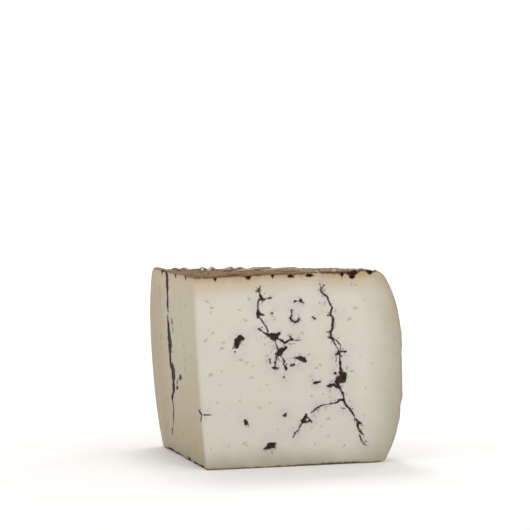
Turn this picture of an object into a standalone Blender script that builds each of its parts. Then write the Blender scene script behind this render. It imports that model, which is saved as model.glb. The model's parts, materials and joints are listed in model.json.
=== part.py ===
"""A quarter of a truffle pecorino wheel, cut by hand and standing on its rind.

Units are metres and +Z is up. The front cut faces -Y, the side cut faces -X, and the wheel's rim
lies towards +X and +Y. The origin is under the middle of the block's box, at the level of its foot.
"""
import math
import random

import bmesh
import bpy
from mathutils import Vector

MM = 0.001

# The whole wheel
WHEEL_RADIUS = 115.7 * MM
WHEEL_HEIGHT = 105 * MM
SHOULDER = 0.903           # radius of the flat faces, as a share of the wheel's radius
RIM_POWER = 2.9            # how late the barrel-shaped rim turns in towards its shoulders
SHOULDER_ROUND = 2.6 * MM  # rounding between a flat face and the rim
ROUND_MIDDLE = 0.7         # how far out along that rounding its middle point lies
CROWN = 0.5 * MM           # rise of the top face between its centre and its shoulder

# The marks that the pressing basket leaves on the rind: groups of reeds, crossed by strands
REED_GROUPS = 36           # round the whole wheel
REED_STRENGTHS = (         # the three reeds of a group, as shares of the full height
    (1.0, 0.9, 0.1), (0.85, 1.0, 0.0), (0.9, 0.7, 0.8), (1.0, 0.15, 0.75),
)
REED_SECTION = (0.0, 1.0, 0.6)  # heights of the mesh steps across one reed
REED_HEIGHT = 1.5 * MM
REED_INNER = 0.34          # where reeds start, as a share of the radius
REED_OUTER = 0.875         # where they stop, inside a plain band
REED_RISE = 0.08           # share of the radius over which a reed rises at its inner end
REED_FALL = 0.03           # and falls at its outer end
STRAND_DIP = 0.42          # how much a crossing strand flattens a reed
REED_FULL = 0.7            # radius, as a share, beyond which a reed has its full height
FOLD_HEIGHT = 0.5 * MM     # broad folds in the middle of the top
FOLD_REACH = 0.6           # share of the radius that the folds cover
FOLDS_ROUND = (5, 17)      # waves of the folds round the wheel
FOLD_TWIST = 40            # radians a metre by which the first wave turns outwards
RIM_RELIEF = 0.35 * MM
RIM_WAVE = 610             # radians a metre of the strands down the rim
FOOT_GROOVE = 0.5 * MM     # marks under the foot are grooves, so that it still stands flat
FOOT_SPAN = (0.45, 0.8)    # shares of the radius between which the grooves lie
GROOVE_BELOW = 0.05        # steps lower than this share of a reed are grooves under the foot

CENTRE_RINGS = 4
REED_RINGS = 18
RIM_RINGS = 9
FOOT_RINGS = 5

# The two knife cuts
KNIFE_OFF_AXIS = 0.4 * MM  # the front cut passes this far from the wheel's axis
SIDE_TILT = math.radians(3.5)
SIDE_BOW = 0.8 * MM        # the side cut is slightly convex
SIDE_RIPPLE = 0.25 * MM    # and rippled from front to back
RIPPLE_WAVES = (420, 150)  # radians a metre
KNIFE_REACH = 1.2          # half the length of a knife block, in wheel radii
KNIFE_ROWS = 10

# What the knife shows. Places on a cut are (distance from the wheel's axis, height), and flakes
# and eyes add (half width, half height), all in millimetres.
VEIN_RADIUS = 0.62 * MM
FLAKE_DEPTH = 0.9 * MM
EYE_DEPTH = 0.6 * MM
FRONT_VEINS = (
    ((32, 96.5), (34.5, 92), (32, 88), (32.3, 84), (34, 80.5), (37.5, 74.5), (41.5, 71),
     (43, 65), (44, 62.5), (42, 58), (41.5, 54)),
    ((42, 71.5), (47.5, 68), (51, 69.5), (56, 69)),
    ((44.5, 62.5), (47, 57.5), (48, 53.5)),
    ((51, 85.5), (50.5, 81), (54, 79.3), (55.5, 80.5)),
    ((67, 99.5), (67.5, 96), (71.5, 93), (74, 86.5), (73.5, 82.5), (75.2, 80), (74.5, 75),
     (73.5, 70), (77.5, 64), (79, 60), (79, 52), (79, 46), (78.5, 42), (81, 37.5), (80.5, 35.5),
     (85, 30), (87, 26.5), (89, 21), (91, 17), (92, 12), (94.5, 9.5)),
    ((80.5, 35.2), (76, 34), (66, 32), (62, 29), (58, 25), (55.5, 21.5), (52, 16)),
    ((-1, 31.5), (1, 29.8), (5.5, 29.8)),
)
FRONT_FLAKES = (
    (21, 69, 3.0, 4.4), (41, 71.5, 3.4, 2.3), (44.5, 63, 3.2, 2.2), (56.3, 58.8, 3.2, 1.7),
    (34, 92.2, 1.8, 1.2), (32.8, 83.5, 1.8, 1.7), (56.3, 90.7, 1.2, 1.0), (78.3, 61.5, 2.2, 1.7),
    (79.6, 47.5, 3.0, 3.8), (73, 43.5, 2.3, 1.2), (65.5, 45.5, 2.0, 0.8), (58.5, 25, 2.8, 2.3),
    (38.5, 11.5, 3.8, 1.6), (25, 25, 1.2, 1.6), (46.9, 28, 1.3, 1.2), (89.3, 21.5, 1.5, 2.2),
)
FRONT_EYES = (
    (3.5, 91), (6, 87.5), (21.5, 86), (27, 92), (25, 80.5), (6.5, 74), (2.5, 70), (12.5, 69),
    (11.5, 65.5), (22, 59), (25.5, 57.5), (5.5, 51.5), (32.3, 32.6), (23.7, 13.6), (72, 25),
    (84.5, 80), (88, 86), (86, 51), (61, 61), (57, 73), (62.3, 49), (65.2, 53.6), (76.2, 50),
)
SIDE_VEINS = (
    ((66.5, 112), (66.5, 98), (67.5, 91), (68.5, 83), (70.5, 75), (71.3, 66), (72.3, 57),
     (69, 49), (67.5, 41), (71, 33), (71, 26)),
)
SIDE_FLAKES = (
    (68.3, 48, 2.2, 3.0), (49.2, 46, 1.6, 1.4), (58, 39.5, 1.3, 1.2), (60.6, 77.8, 1.0, 1.3),
    (82, 2, 1.7, 1.3), (40.5, 2.6, 1.5, 1.3), (11, 1.4, 1.3, 1.1),
)
SIDE_EYES = ((24, 88), (38, 71), (18, 60), (33, 52), (49, 24), (27, 20), (88, 66), (84, 30))
# Pits where the rind's own dents meet a cut: (distance from the axis, half width)
FRONT_EDGE_PITS = ((8, 1.0), (26.5, 1.2), (64.5, 2.0), (73, 1.9), (85, 3.4), (94.5, 2.0))
SIDE_EDGE_PITS = ((21, 1.8), (44, 1.6))
EDGE_PIT_REACH = 2.2 * MM
EDGE_PIT_DEPTH = 1.6 * MM
EDGE_PIT_HEIGHT = WHEEL_HEIGHT / MM + 0.4
EYE_HALF_WIDTH = 1.3 * MM
EYE_HALF_HEIGHT = 0.85 * MM
CUTTER_SEGMENTS = 7
CUTTER_RINGS = 4

RIND_COLOUR = (0.24, 0.17, 0.07, 1.0)
PASTE_COLOUR = (0.66, 0.61, 0.47, 1.0)
TRUFFLE_COLOUR = (0.02, 0.013, 0.011, 1.0)


def clear_scene():
    """Start from nothing, whatever the file held."""
    for item in list(bpy.data.objects):
        bpy.data.objects.remove(item, do_unlink=True)


def make_material(name, colour, roughness):
    """One plain finish."""
    material = bpy.data.materials.new(name)
    material.use_nodes = True
    shader = material.node_tree.nodes["Principled BSDF"]
    shader.inputs["Base Color"].default_value = colour
    shader.inputs["Roughness"].default_value = roughness
    shader.inputs["Metallic"].default_value = 0.0
    return material


def make_collection(name):
    """A collection linked to the scene."""
    collection = bpy.data.collections.new(name)
    bpy.context.scene.collection.children.link(collection)
    return collection


def move_to(item, collection, parent):
    """Put an object in one collection only, under its parent."""
    for owner in list(item.users_collection):
        owner.objects.unlink(item)
    collection.objects.link(item)
    item.parent = parent


def rim_radius(height):
    """Radius of the barrel-shaped rim at a height."""
    share = abs(2 * height / WHEEL_HEIGHT - 1)
    return WHEEL_RADIUS * (1 - (1 - SHOULDER) * share ** RIM_POWER)


def wheel_profile():
    """Half the wheel's section, from the middle of the top, down the rim, to the middle below."""
    flat = SHOULDER * WHEEL_RADIUS - SHOULDER_ROUND
    round_middle = flat + SHOULDER_ROUND * ROUND_MIDDLE
    round_drop = SHOULDER_ROUND * (1 - ROUND_MIDDLE)
    inner = REED_INNER * WHEEL_RADIUS
    outer = REED_OUTER * WHEEL_RADIUS
    radii = [inner * i / CENTRE_RINGS for i in range(CENTRE_RINGS)]
    radii += [inner + (outer - inner) * i / REED_RINGS for i in range(REED_RINGS + 1)]
    points = [(r, WHEEL_HEIGHT + CROWN * math.sin(math.pi * r / flat)) for r in radii]
    points.append((flat, WHEEL_HEIGHT))
    points.append((round_middle, WHEEL_HEIGHT - round_drop))
    top_of_rim = WHEEL_HEIGHT - SHOULDER_ROUND
    for i in range(RIM_RINGS + 1):
        height = top_of_rim + (SHOULDER_ROUND - top_of_rim) * i / RIM_RINGS
        points.append((rim_radius(height), height))
    points.append((round_middle, round_drop))
    points += [(flat * (FOOT_RINGS - i) / FOOT_RINGS, 0.0) for i in range(FOOT_RINGS + 1)]
    return points


def turn_wheel(material):
    """The plain wheel: its section turned about the axis with a Screw modifier."""
    mesh = bpy.data.meshes.new("cheese_wedge")
    shape = bmesh.new()
    ring = [shape.verts.new((r, 0.0, z)) for r, z in wheel_profile()]
    for upper, lower in zip(ring, ring[1:]):
        shape.edges.new((upper, lower))
    shape.to_mesh(mesh)
    shape.free()
    mesh.materials.append(material)
    wheel = bpy.data.objects.new("wheel_section", mesh)
    bpy.context.scene.collection.objects.link(wheel)
    turn = wheel.modifiers.new("turn", "SCREW")
    turn.axis = "Z"
    turn.steps = REED_GROUPS * len(REED_STRENGTHS[0]) * len(REED_SECTION)
    turn.render_steps = turn.steps
    turn.use_merge_vertices = True
    turn.merge_threshold = 0.00001
    turn.use_smooth_shade = False
    return wheel


def reed_table():
    """Height and inner end of the reed at each step round the wheel, from a seeded draw."""
    draw = random.Random(7)
    table = []
    for _ in range(REED_GROUPS):
        strengths = draw.choice(REED_STRENGTHS)
        group = draw.uniform(0.75, 1.15)
        start = REED_INNER + draw.uniform(0.02, 0.24)
        table += [(share * strength * group, start) for strength in strengths for share in REED_SECTION]
    return table


def strand_table():
    """How much each ring of the top is flattened by the strands that cross the reeds."""
    draw = random.Random(11)
    return [draw.uniform(0.0, 0.25) + STRAND_DIP * (ring % 2) for ring in range(REED_RINGS + 1)]


def ramp(value):
    """Limit a value to the range from 0 to 1."""
    return min(1.0, max(0.0, value))


def top_relief(radius, angle, height, start, strands):
    """Height of the reeds, the strands that cross them and the broad folds on the top face."""
    share = radius / WHEEL_RADIUS
    ring = round((share - REED_INNER) / (REED_OUTER - REED_INNER) * REED_RINGS)
    dip = strands[min(max(0, ring), REED_RINGS)]
    fade = ramp((share - start) / REED_RISE) * ramp((REED_OUTER - share) / REED_FALL + 0.5)
    reed = REED_HEIGHT * height * fade * ramp(share / REED_FULL) * (1 - dip)
    slow, quick = FOLDS_ROUND
    fold = math.sin(slow * angle + FOLD_TWIST * radius) * math.sin(quick * angle + 1)
    return reed + FOLD_HEIGHT * fold * math.sin(math.pi * ramp(share / FOLD_REACH))


def rim_relief(z, height, step):
    """How far the rim stands out: faint reeds, broken by the strands round the wheel."""
    strand = 0.45 + 0.55 * math.cos(z * RIM_WAVE + step)
    return RIM_RELIEF * (height - 0.4) * strand * math.sin(math.pi * z / WHEEL_HEIGHT)


def emboss(mesh):
    """Press the basket's marks into the turned wheel by moving its points."""
    reeds = reed_table()
    strands = strand_table()
    for vertex in mesh.vertices:
        x, y, z = vertex.co
        radius = math.hypot(x, y)
        if radius < 0.1 * MM:
            continue
        angle = math.atan2(y, x)
        step = round(angle / math.tau * len(reeds)) % len(reeds)
        height, start = reeds[step]
        if z > WHEEL_HEIGHT - 0.01 * MM:
            vertex.co.z = z + top_relief(radius, angle, height, start, strands)
        elif z < 0.01 * MM:
            if height < GROOVE_BELOW and FOOT_SPAN[0] < radius / WHEEL_RADIUS < FOOT_SPAN[1]:
                vertex.co.z = z + FOOT_GROOVE
        else:
            push = rim_relief(z, height, step)
            vertex.co.x = x * (1 + push / radius)
            vertex.co.y = y * (1 + push / radius)


def as_mesh_object(source, name, collection, parent):
    """Replace a curve or a modified object by the mesh that it evaluates to."""
    graph = bpy.context.evaluated_depsgraph_get()
    mesh = bpy.data.meshes.new_from_object(source.evaluated_get(graph))
    shape = bmesh.new()
    shape.from_mesh(mesh)
    bmesh.ops.remove_doubles(shape, verts=shape.verts, dist=0.00001)
    bmesh.ops.recalc_face_normals(shape, faces=shape.faces)
    shape.to_mesh(mesh)
    shape.free()
    result = bpy.data.objects.new(name, mesh)
    result.matrix_world = source.matrix_world
    bpy.data.objects.remove(source, do_unlink=True)
    collection.objects.link(result)
    result.parent = parent
    return result


def as_cutter(item, material):
    """Mark an object as a guide that only cuts."""
    item.hide_render = True
    item.display_type = "WIRE"
    item.data.materials.clear()
    item.data.materials.append(material)
    return item


def side_cut_x(y, z):
    """Where the tilted, slightly bowed side cut lies."""
    share = 2 * z / WHEEL_HEIGHT - 1
    tilt = -math.tan(SIDE_TILT) * (z - WHEEL_HEIGHT / 2)
    bow = -SIDE_BOW * (1 - min(1.0, share * share))
    short, long = RIPPLE_WAVES
    ripple = SIDE_RIPPLE * math.sin(y * short + 4 * share) * math.sin(y * long + 1)
    return tilt + bow + ripple


def knife_block(name, collection, parent, material):
    """A block large enough to take away one half of the wheel, with rows of points to bend."""
    reach = 2 * KNIFE_REACH * WHEEL_RADIUS
    bpy.ops.mesh.primitive_cube_add(size=1)
    block = bpy.context.object
    block.name = name
    shape = bmesh.new()
    shape.from_mesh(block.data)
    bmesh.ops.scale(shape, vec=(reach, reach, 1.6 * WHEEL_HEIGHT), verts=shape.verts)
    bmesh.ops.translate(shape, vec=(0, 0, WHEEL_HEIGHT / 2), verts=shape.verts)
    shape.to_mesh(block.data)
    shape.free()
    move_to(block, collection, parent)
    return as_cutter(block, material)


def make_knives(collection, parent, material):
    """The front cut is flat and upright, the side cut tilted, bowed and rippled."""
    half = KNIFE_REACH * WHEEL_RADIUS
    front = knife_block("knife_front", collection, parent, material)
    for vertex in front.data.vertices:
        vertex.co.y += KNIFE_OFF_AXIS - half
    side = knife_block("knife_side", collection, parent, material)
    shape = bmesh.new()
    shape.from_mesh(side.data)
    bmesh.ops.subdivide_edges(shape, edges=shape.edges, cuts=KNIFE_ROWS, use_grid_fill=True)
    for vertex in shape.verts:
        if vertex.co.x > half - 0.1 * MM:
            vertex.co.x = side_cut_x(vertex.co.y, vertex.co.z)
        else:
            vertex.co.x -= half
    shape.to_mesh(side.data)
    shape.free()
    return front, side


def on_front(place):
    """A place on the front cut."""
    return Vector((place[0] * MM, KNIFE_OFF_AXIS, place[1] * MM))


def on_side(place):
    """A place on the side cut."""
    return Vector((side_cut_x(place[0] * MM, place[1] * MM), place[0] * MM, place[1] * MM))


def vein_cutter(name, route, collection, parent, material):
    """A thin, uneven tube along a vein's route, half of it inside the paste."""
    draw = random.Random(name)
    curve = bpy.data.curves.new(name, "CURVE")
    curve.dimensions = "3D"
    curve.bevel_depth = VEIN_RADIUS
    curve.bevel_resolution = 1
    curve.use_fill_caps = True
    spline = curve.splines.new("POLY")
    spline.points.add(len(route) - 1)
    for point, place in zip(spline.points, route):
        point.co = (*place, 1.0)
        point.radius = draw.uniform(0.75, 1.15)
    spline.points[-1].radius = 0.6
    tube = bpy.data.objects.new(name, curve)
    bpy.context.scene.collection.objects.link(tube)
    bpy.context.view_layer.update()
    return as_cutter(as_mesh_object(tube, name, collection, parent), material)


def pit_cutter(name, place, half_sizes, turn, collection, parent, material):
    """A flattened ball that leaves a shallow pit."""
    bpy.ops.mesh.primitive_uv_sphere_add(segments=CUTTER_SEGMENTS, ring_count=CUTTER_RINGS, radius=1)
    ball = bpy.context.object
    ball.name = name
    ball.location = place
    ball.rotation_euler = turn
    ball.scale = half_sizes
    move_to(ball, collection, parent)
    return as_cutter(ball, material)


def make_pits(marks, collections, parent, paste, truffle):
    """All the veins, flakes, eyes and edge pits that show on the two cuts."""
    veins, flakes, eyes = collections
    draw = random.Random(23)
    for label, places, locate, quarter in marks:
        for i, route in enumerate(places["veins"]):
            points = [locate(place) for place in route]
            vein_cutter(f"{label}_vein_{i}", points, veins, parent, truffle)
        for i, (across, up, half_w, half_h) in enumerate(places["flakes"]):
            turn = (0.0, draw.uniform(-0.25, 0.25), quarter)
            size = (half_w * MM, FLAKE_DEPTH, half_h * MM)
            pit_cutter(f"{label}_flake_{i}", locate((across, up)), size, turn, flakes, parent, truffle)
        for i, place in enumerate(places["eyes"]):
            turn = (0.0, draw.uniform(-0.6, 0.6), quarter)
            grow = draw.uniform(0.75, 1.2)
            size = (EYE_HALF_WIDTH * grow, EYE_DEPTH, EYE_HALF_HEIGHT * grow)
            pit_cutter(f"{label}_eye_{i}", locate(place), size, turn, eyes, parent, paste)
        for i, (across, half_w) in enumerate(places["edge pits"]):
            place = locate((across, EDGE_PIT_HEIGHT))
            size = (half_w * MM, EDGE_PIT_REACH, EDGE_PIT_DEPTH * draw.uniform(0.8, 1.3))
            pit_cutter(f"{label}_edge_{i}", place, size, (0.0, 0.1, quarter), eyes, parent, truffle)


def cut(item, name, operand):
    """Take an object or a whole collection away from the block."""
    step = item.modifiers.new(name, "BOOLEAN")
    step.operation = "DIFFERENCE"
    step.solver = "EXACT"
    step.material_mode = "TRANSFER"
    if isinstance(operand, bpy.types.Collection):
        step.operand_type = "COLLECTION"
        step.collection = operand
    else:
        step.object = operand


def set_on_origin(item, seat):
    """Shift everything so that the block stands on the origin with its box centred."""
    graph = bpy.context.evaluated_depsgraph_get()
    evaluated = item.evaluated_get(graph)
    points = [evaluated.matrix_world @ vertex.co for vertex in evaluated.data.vertices]
    low = [min(point[axis] for point in points) for axis in range(3)]
    high = [max(point[axis] for point in points) for axis in range(3)]
    seat.location = (-(low[0] + high[0]) / 2, -(low[1] + high[1]) / 2, -low[2])
    bpy.context.view_layer.update()


def main():
    clear_scene()
    rind = make_material("rind", RIND_COLOUR, 0.4)
    paste = make_material("paste", PASTE_COLOUR, 0.55)
    truffle = make_material("truffle", TRUFFLE_COLOUR, 0.6)
    cheese = make_collection("truffle_pecorino")
    knives = make_collection("cutters")
    pits = [make_collection(name) for name in ("vein_cutters", "flake_cutters", "eye_cutters")]
    seat = bpy.data.objects.new("seat", None)
    cheese.objects.link(seat)

    block = as_mesh_object(turn_wheel(rind), "cheese_wedge", cheese, seat)
    emboss(block.data)
    front, side = make_knives(knives, seat, paste)
    on_the_front = {"veins": FRONT_VEINS, "flakes": FRONT_FLAKES, "eyes": FRONT_EYES}
    on_the_front["edge pits"] = FRONT_EDGE_PITS
    on_the_side = {"veins": SIDE_VEINS, "flakes": SIDE_FLAKES, "eyes": SIDE_EYES}
    on_the_side["edge pits"] = SIDE_EDGE_PITS
    marks = (
        ("front", on_the_front, on_front, 0.0),
        ("side", on_the_side, on_side, math.pi / 2),
    )
    make_pits(marks, pits, seat, paste, truffle)
    cut(block, "front cut", front)
    cut(block, "side cut", side)
    for collection in pits:
        cut(block, collection.name, collection)
    bpy.context.view_layer.update()
    set_on_origin(block, seat)


main()
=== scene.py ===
# %% [markdown]
# A quarter of a truffle pecorino wheel, cut by hand and standing on its rind.
#
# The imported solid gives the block's size and place. Its faces are too coarse to show beads on the
# rind or threads of truffle, so this lesson makes the same forms again on a fine mesh: the rind
# first, then the two knife cuts, then their finishes, the light and the camera.

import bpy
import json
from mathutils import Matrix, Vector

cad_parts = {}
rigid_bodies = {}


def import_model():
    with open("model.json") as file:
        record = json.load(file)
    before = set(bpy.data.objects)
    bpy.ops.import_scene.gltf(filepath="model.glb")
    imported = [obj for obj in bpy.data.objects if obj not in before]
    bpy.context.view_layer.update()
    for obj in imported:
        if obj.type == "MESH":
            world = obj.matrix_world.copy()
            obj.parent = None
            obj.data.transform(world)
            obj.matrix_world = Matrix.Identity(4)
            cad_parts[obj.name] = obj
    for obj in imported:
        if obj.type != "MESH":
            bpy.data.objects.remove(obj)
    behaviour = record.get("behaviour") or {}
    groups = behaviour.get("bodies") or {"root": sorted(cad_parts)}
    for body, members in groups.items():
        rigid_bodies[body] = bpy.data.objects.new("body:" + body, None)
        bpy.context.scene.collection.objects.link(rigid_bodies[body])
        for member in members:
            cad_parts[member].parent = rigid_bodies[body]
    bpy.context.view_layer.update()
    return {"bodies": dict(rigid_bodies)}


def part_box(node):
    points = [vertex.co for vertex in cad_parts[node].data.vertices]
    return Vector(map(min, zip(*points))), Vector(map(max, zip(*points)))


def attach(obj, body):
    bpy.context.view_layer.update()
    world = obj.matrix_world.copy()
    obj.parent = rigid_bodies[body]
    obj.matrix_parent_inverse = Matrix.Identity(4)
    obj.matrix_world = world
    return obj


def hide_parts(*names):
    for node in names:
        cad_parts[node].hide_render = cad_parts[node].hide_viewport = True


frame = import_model()

# %% Modules and units
import json
import math
import random

import bmesh
import bpy
import numpy as np
from mathutils import Matrix, Vector
from mathutils.geometry import delaunay_2d_cdt

MM = 0.001  # shapes below are worked out in millimetres, and the finished mesh is in metres

# %% [markdown]
# Nothing on a hand-made cheese is even, so nearly every step needs a smooth random field. Blender
# has noise functions that take one point at a time. A table of random numbers, read between its
# entries for a whole array of points at once, is much faster for a hundred thousand points. Each
# field that a step needs has a name, with its sizes and its seed, in one list.

# %% Smooth random fields
NOISE_CELLS = 256
LAYER_TURN = 0.6      # radians by which each finer layer of a field is turned
FIELDS = {            # size of a cell in each direction, number of layers, seed
    "reed stray": (1 / 11, 3.0, 1, 31),        # in shares of the radius and in reeds
    "strap stray": (1 / 9, 1 / 9, 1, 12),      # in radians and in shares of the radius
    "outer wrinkle": (2.3 / 80, 13.0, 3, 41),  # in radians and millimetres, as the next three
    "inner wrinkle": (1 / 14, 11.0, 3, 45),
    "outer streak": (1 / 46, 15.0, 2, 65),
    "inner streak": (1 / 19, 13.0, 2, 68),
    "torn edge": (1.6, 1.6, 2, 21),            # in millimetres, as all that follow
    "skin": (1.5, 1.5, 2, 51),
    "blade": (9.0, 70.0, 1, 17),
    "rim dents": (9.0, 6.0, 3, 61),
    "rim skin": (1.6, 1.2, 2, 71),
    "eye edge": (0.6, 0.6, 1, 141),
    "opening edge": (0.9, 0.7, 2, 131),
    "chunk": (0.7, 0.7, 1, 81),
    "cut swell": (5.0, 7.0, 3, 91),
    "cut tooth": (0.9, 0.9, 1, 95),
}


def smooth_step(value):
    """Go from 0 to 1 with level ends, and stay there outside."""
    value = np.clip(value, 0.0, 1.0)
    return value * value * (3 - 2 * value)


def ramp(value, start, end):
    """Go from 0 where a value is at the start to 1 where it is at the end, with level ends."""
    return smooth_step((value - start) / (end - start))


def waver(u, v, seed):
    """A smooth field between -1 and 1 that changes about once a unit of u and v."""
    table = np.random.RandomState(seed).uniform(-1, 1, (NOISE_CELLS, NOISE_CELLS))
    column, row = np.floor(u).astype(int), np.floor(v).astype(int)
    across, along = smooth_step(u - column), smooth_step(v - row)
    column, row = column % NOISE_CELLS, row % NOISE_CELLS
    next_column, next_row = (column + 1) % NOISE_CELLS, (row + 1) % NOISE_CELLS
    near = table[column, row] * (1 - across) + table[next_column, row] * across
    far = table[column, next_row] * (1 - across) + table[next_column, next_row] * across
    return near * (1 - along) + far * along


def field(name, u, v):
    """One of the named fields. Each layer is finer and weaker than the last, and turned a little."""
    size_u, size_v, layers, seed = FIELDS[name]
    u, v = u / size_u, v / size_v
    total = np.zeros(np.broadcast(u, v).shape)
    turn_cos, turn_sin = math.cos(LAYER_TURN), math.sin(LAYER_TURN)
    for layer in range(layers):
        total += waver(u, v, seed + layer) / 2 ** layer
        u, v = 2 * (u * turn_cos - v * turn_sin), 2 * (u * turn_sin + v * turn_cos)
    return total


print("field test:", round(float(field("skin", np.array([1.5]), np.array([2.5]))[0]), 3))

# %% [markdown]
# The wheel is a low drum with a barrel-shaped rim. Its section is the one that the solid was
# turned from: the same radius, height and rounding at the shoulder.

# %% The wheel's section
WHEEL_RADIUS = 115.7
WHEEL_HEIGHT = 105.0
SHOULDER = 0.903      # radius of the flat faces, as a share of the wheel's radius
RIM_POWER = 2.9       # how late the rim turns in towards its shoulders
SHOULDER_ROUND = 2.6  # rounding between a flat face and the rim
CROWN = 0.5           # rise of the top face between its centre and its shoulder
FLAT_RADIUS = SHOULDER * WHEEL_RADIUS - SHOULDER_ROUND


def rim_radius(height):
    """Radius of the barrel-shaped rim at a height."""
    share = np.abs(2 * height / WHEEL_HEIGHT - 1)
    return WHEEL_RADIUS * (1 - (1 - SHOULDER) * share ** RIM_POWER)


def shoulder_curve(rows, nudge=0.1):
    """Radius and depth below the face along the rounding, from the flat face to the rim."""
    height = WHEEL_HEIGHT - SHOULDER_ROUND
    end = float(rim_radius(height))
    slope = (float(rim_radius(height - nudge)) - end) / nudge
    corner = end - slope * SHOULDER_ROUND
    part = np.arange(rows) / rows
    radius = (1 - part) ** 2 * FLAT_RADIUS + 2 * part * (1 - part) * corner + part ** 2 * end
    return radius, SHOULDER_ROUND * part ** 2


print("flat face radius:", round(FLAT_RADIUS, 1), "mm")

# %% [markdown]
# The cheese was pressed in a basket. Its reeds left ridges that run outwards in groups of two or
# three, and the strands that bind the reeds cut each ridge into beads. The draws below are the
# ones that the solid used, so each ridge lies where the solid has it, and only its section and
# its beads are finer here.

# %% The basket's reeds
REED_GROUPS = 36
REED_STRENGTHS = (  # the three reeds of a group, as shares of the full height
    (1.0, 0.9, 0.1), (0.85, 1.0, 0.0), (0.9, 0.7, 0.8), (1.0, 0.15, 0.75),
)
GROUP_STRENGTH = (0.75, 1.15)
REEDS_IN_GROUP = len(REED_STRENGTHS[0])
REEDS = REED_GROUPS * REEDS_IN_GROUP
REED_HEIGHT = 1.5
REED_INNER = 0.34     # where reeds start, as a share of the radius
REED_DELAY = (0.02, 0.24)  # how much further out a group may start
REED_OUTER = 0.875    # where they stop, inside a plain band
REED_RISE = 0.08
REED_FALL = 0.03
REED_FULL = 0.7       # radius, as a share, beyond which a reed has its full height
REED_PEAK = 0.42      # where the ridge's back lies across one reed
REED_HALF = 0.33      # half the ridge's width, as a share of the reed
REED_SHAPE = (1.9, 0.9)  # powers that make the ridge's back round and its flanks steep
REED_EDGE = 0.1       # half the width of the painted shade line at the foot of a ridge
REED_WANDER = 0.1     # how far a ridge strays sideways, as a share of the reed


def draw_reeds():
    """Strength and inner end of every reed round the wheel."""
    draw = random.Random(7)
    strengths, starts = [], []
    for _ in range(REED_GROUPS):
        shares = draw.choice(REED_STRENGTHS)
        group = draw.uniform(*GROUP_STRENGTH)
        start = REED_INNER + draw.uniform(*REED_DELAY)
        strengths += [share * group for share in shares]
        starts += [start] * REEDS_IN_GROUP
    return np.array(strengths), np.array(starts)


reed_strength, reed_start = draw_reeds()
print("reeds:", REEDS, "mean strength", round(float(reed_strength.mean()), 2))

# %% Strands that cross the reeds
STRANDS = 13          # rings of strands between the reeds' inner and outer ends
STRAND_PITCH = (REED_OUTER - REED_INNER) * WHEEL_RADIUS / STRANDS
STRAND_HALF = 0.75    # half the width of the dip that a strand leaves
STRAND_DEPTH = (0.1, 0.95)  # how much of a ridge's height a dip takes away
STRAND_SHIFT = 0.22   # how far a dip strays along its reed, as a share of the pitch
STRAP_PITCH = 3.4     # spacing of the flat straps that cross some groups
STRAP_HEIGHT = 0.55
STRAP_DRAW = (-1.6, 1.0)  # strength of a group's straps, where less than nothing means none

strand_draw = np.random.RandomState(11)
strand_depth = strand_draw.uniform(*STRAND_DEPTH, (REEDS, STRANDS + 2))
strand_shift = strand_draw.uniform(-STRAND_SHIFT, STRAND_SHIFT, (REEDS, STRANDS + 2))
strap_strength = np.clip(strand_draw.uniform(*STRAP_DRAW, REED_GROUPS), 0, 1)
print("groups crossed by straps:", int((strap_strength > 0).sum()))

# %% [markdown]
# Between the reeds the skin is wrinkled and streaked, the middle of the wheel is folded and pitted,
# and a few holes sit where the knife ran through the edge. All of it is one height field over the
# round face. Masks that the finish needs later, such as how high on a ridge a point lies, come out
# of the same function, so that colour and shape can't drift apart.

# %% Holes and pits in the top face
PITS = 9
PIT_SPAN = (0.2, 0.66)  # between these shares of the radius
PIT_SIZE = (0.5, 1.4)
PIT_LENGTH = 1.7      # along a radius, in pit sizes
PIT_DEPTH = 0.5       # as a share of a hole's depth
FRONT_EDGE_HOLES = ((8, 0.9), (26.5, 1.3), (40.2, 0.8), (80.3, 1.0), (86.6, 2.7), (96.3, 1.7))
SIDE_EDGE_HOLES = ((21, 1.8), (44, 1.6), (78, 1.5))
HOLE_REACH = 1.9      # how far a hole reaches in from its cut
HOLE_DEPTH = 2.2
HOLE_FRAY = 0.45
HOLE_WALL = 1.4       # powers that say how steep the wall of a hole and of a pit is
PIT_WALL = 1.3
KNIFE_OFF_AXIS = 0.4  # the front cut passes this far from the wheel's axis

pit_draw = np.random.RandomState(5)
pit_radius = WHEEL_RADIUS * np.sqrt(pit_draw.uniform(PIT_SPAN[0] ** 2, PIT_SPAN[1] ** 2, PITS))
pit_angle = pit_draw.uniform(0.0, math.pi / 2, PITS)
pit_size = pit_draw.uniform(*PIT_SIZE, PITS)


def holes_at(x, y):
    """How deep in a hole or pit each point of the top lies, from 0 to 1."""
    deep = np.zeros_like(x)
    ragged = 1 + HOLE_FRAY * field("torn edge", x, y)
    from_front = (y - KNIFE_OFF_AXIS) / HOLE_REACH
    from_side = (x - side_cut_x(y, WHEEL_HEIGHT)) / HOLE_REACH
    for holes, along, inward in ((FRONT_EDGE_HOLES, x, from_front), (SIDE_EDGE_HOLES, y, from_side)):
        for place, half in holes:
            gap = ((along - place) / half) ** 2 + inward ** 2
            deep = np.maximum(deep, np.exp(-(gap * ragged) ** HOLE_WALL))
    radius, angle = np.hypot(x, y), np.arctan2(y, x)
    for centre, turn, size in zip(pit_radius, pit_angle, pit_size):
        gap = ((radius - centre) / (PIT_LENGTH * size)) ** 2 + ((angle - turn) * centre / size) ** 2
        deep = np.maximum(deep, PIT_DEPTH * np.exp(-(gap * ragged) ** PIT_WALL))
    return deep


print("holes:", len(FRONT_EDGE_HOLES) + len(SIDE_EDGE_HOLES), "pits:", PITS)

# %% [markdown]
# The height field itself adds three kinds of form. Slow ones, such as the crown and the folds, give
# the face its outline. Reeds and straps stand on them. Wrinkles fill what is left, and near the axis
# there are fewer of them round the face, so that they don't crowd.

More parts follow.
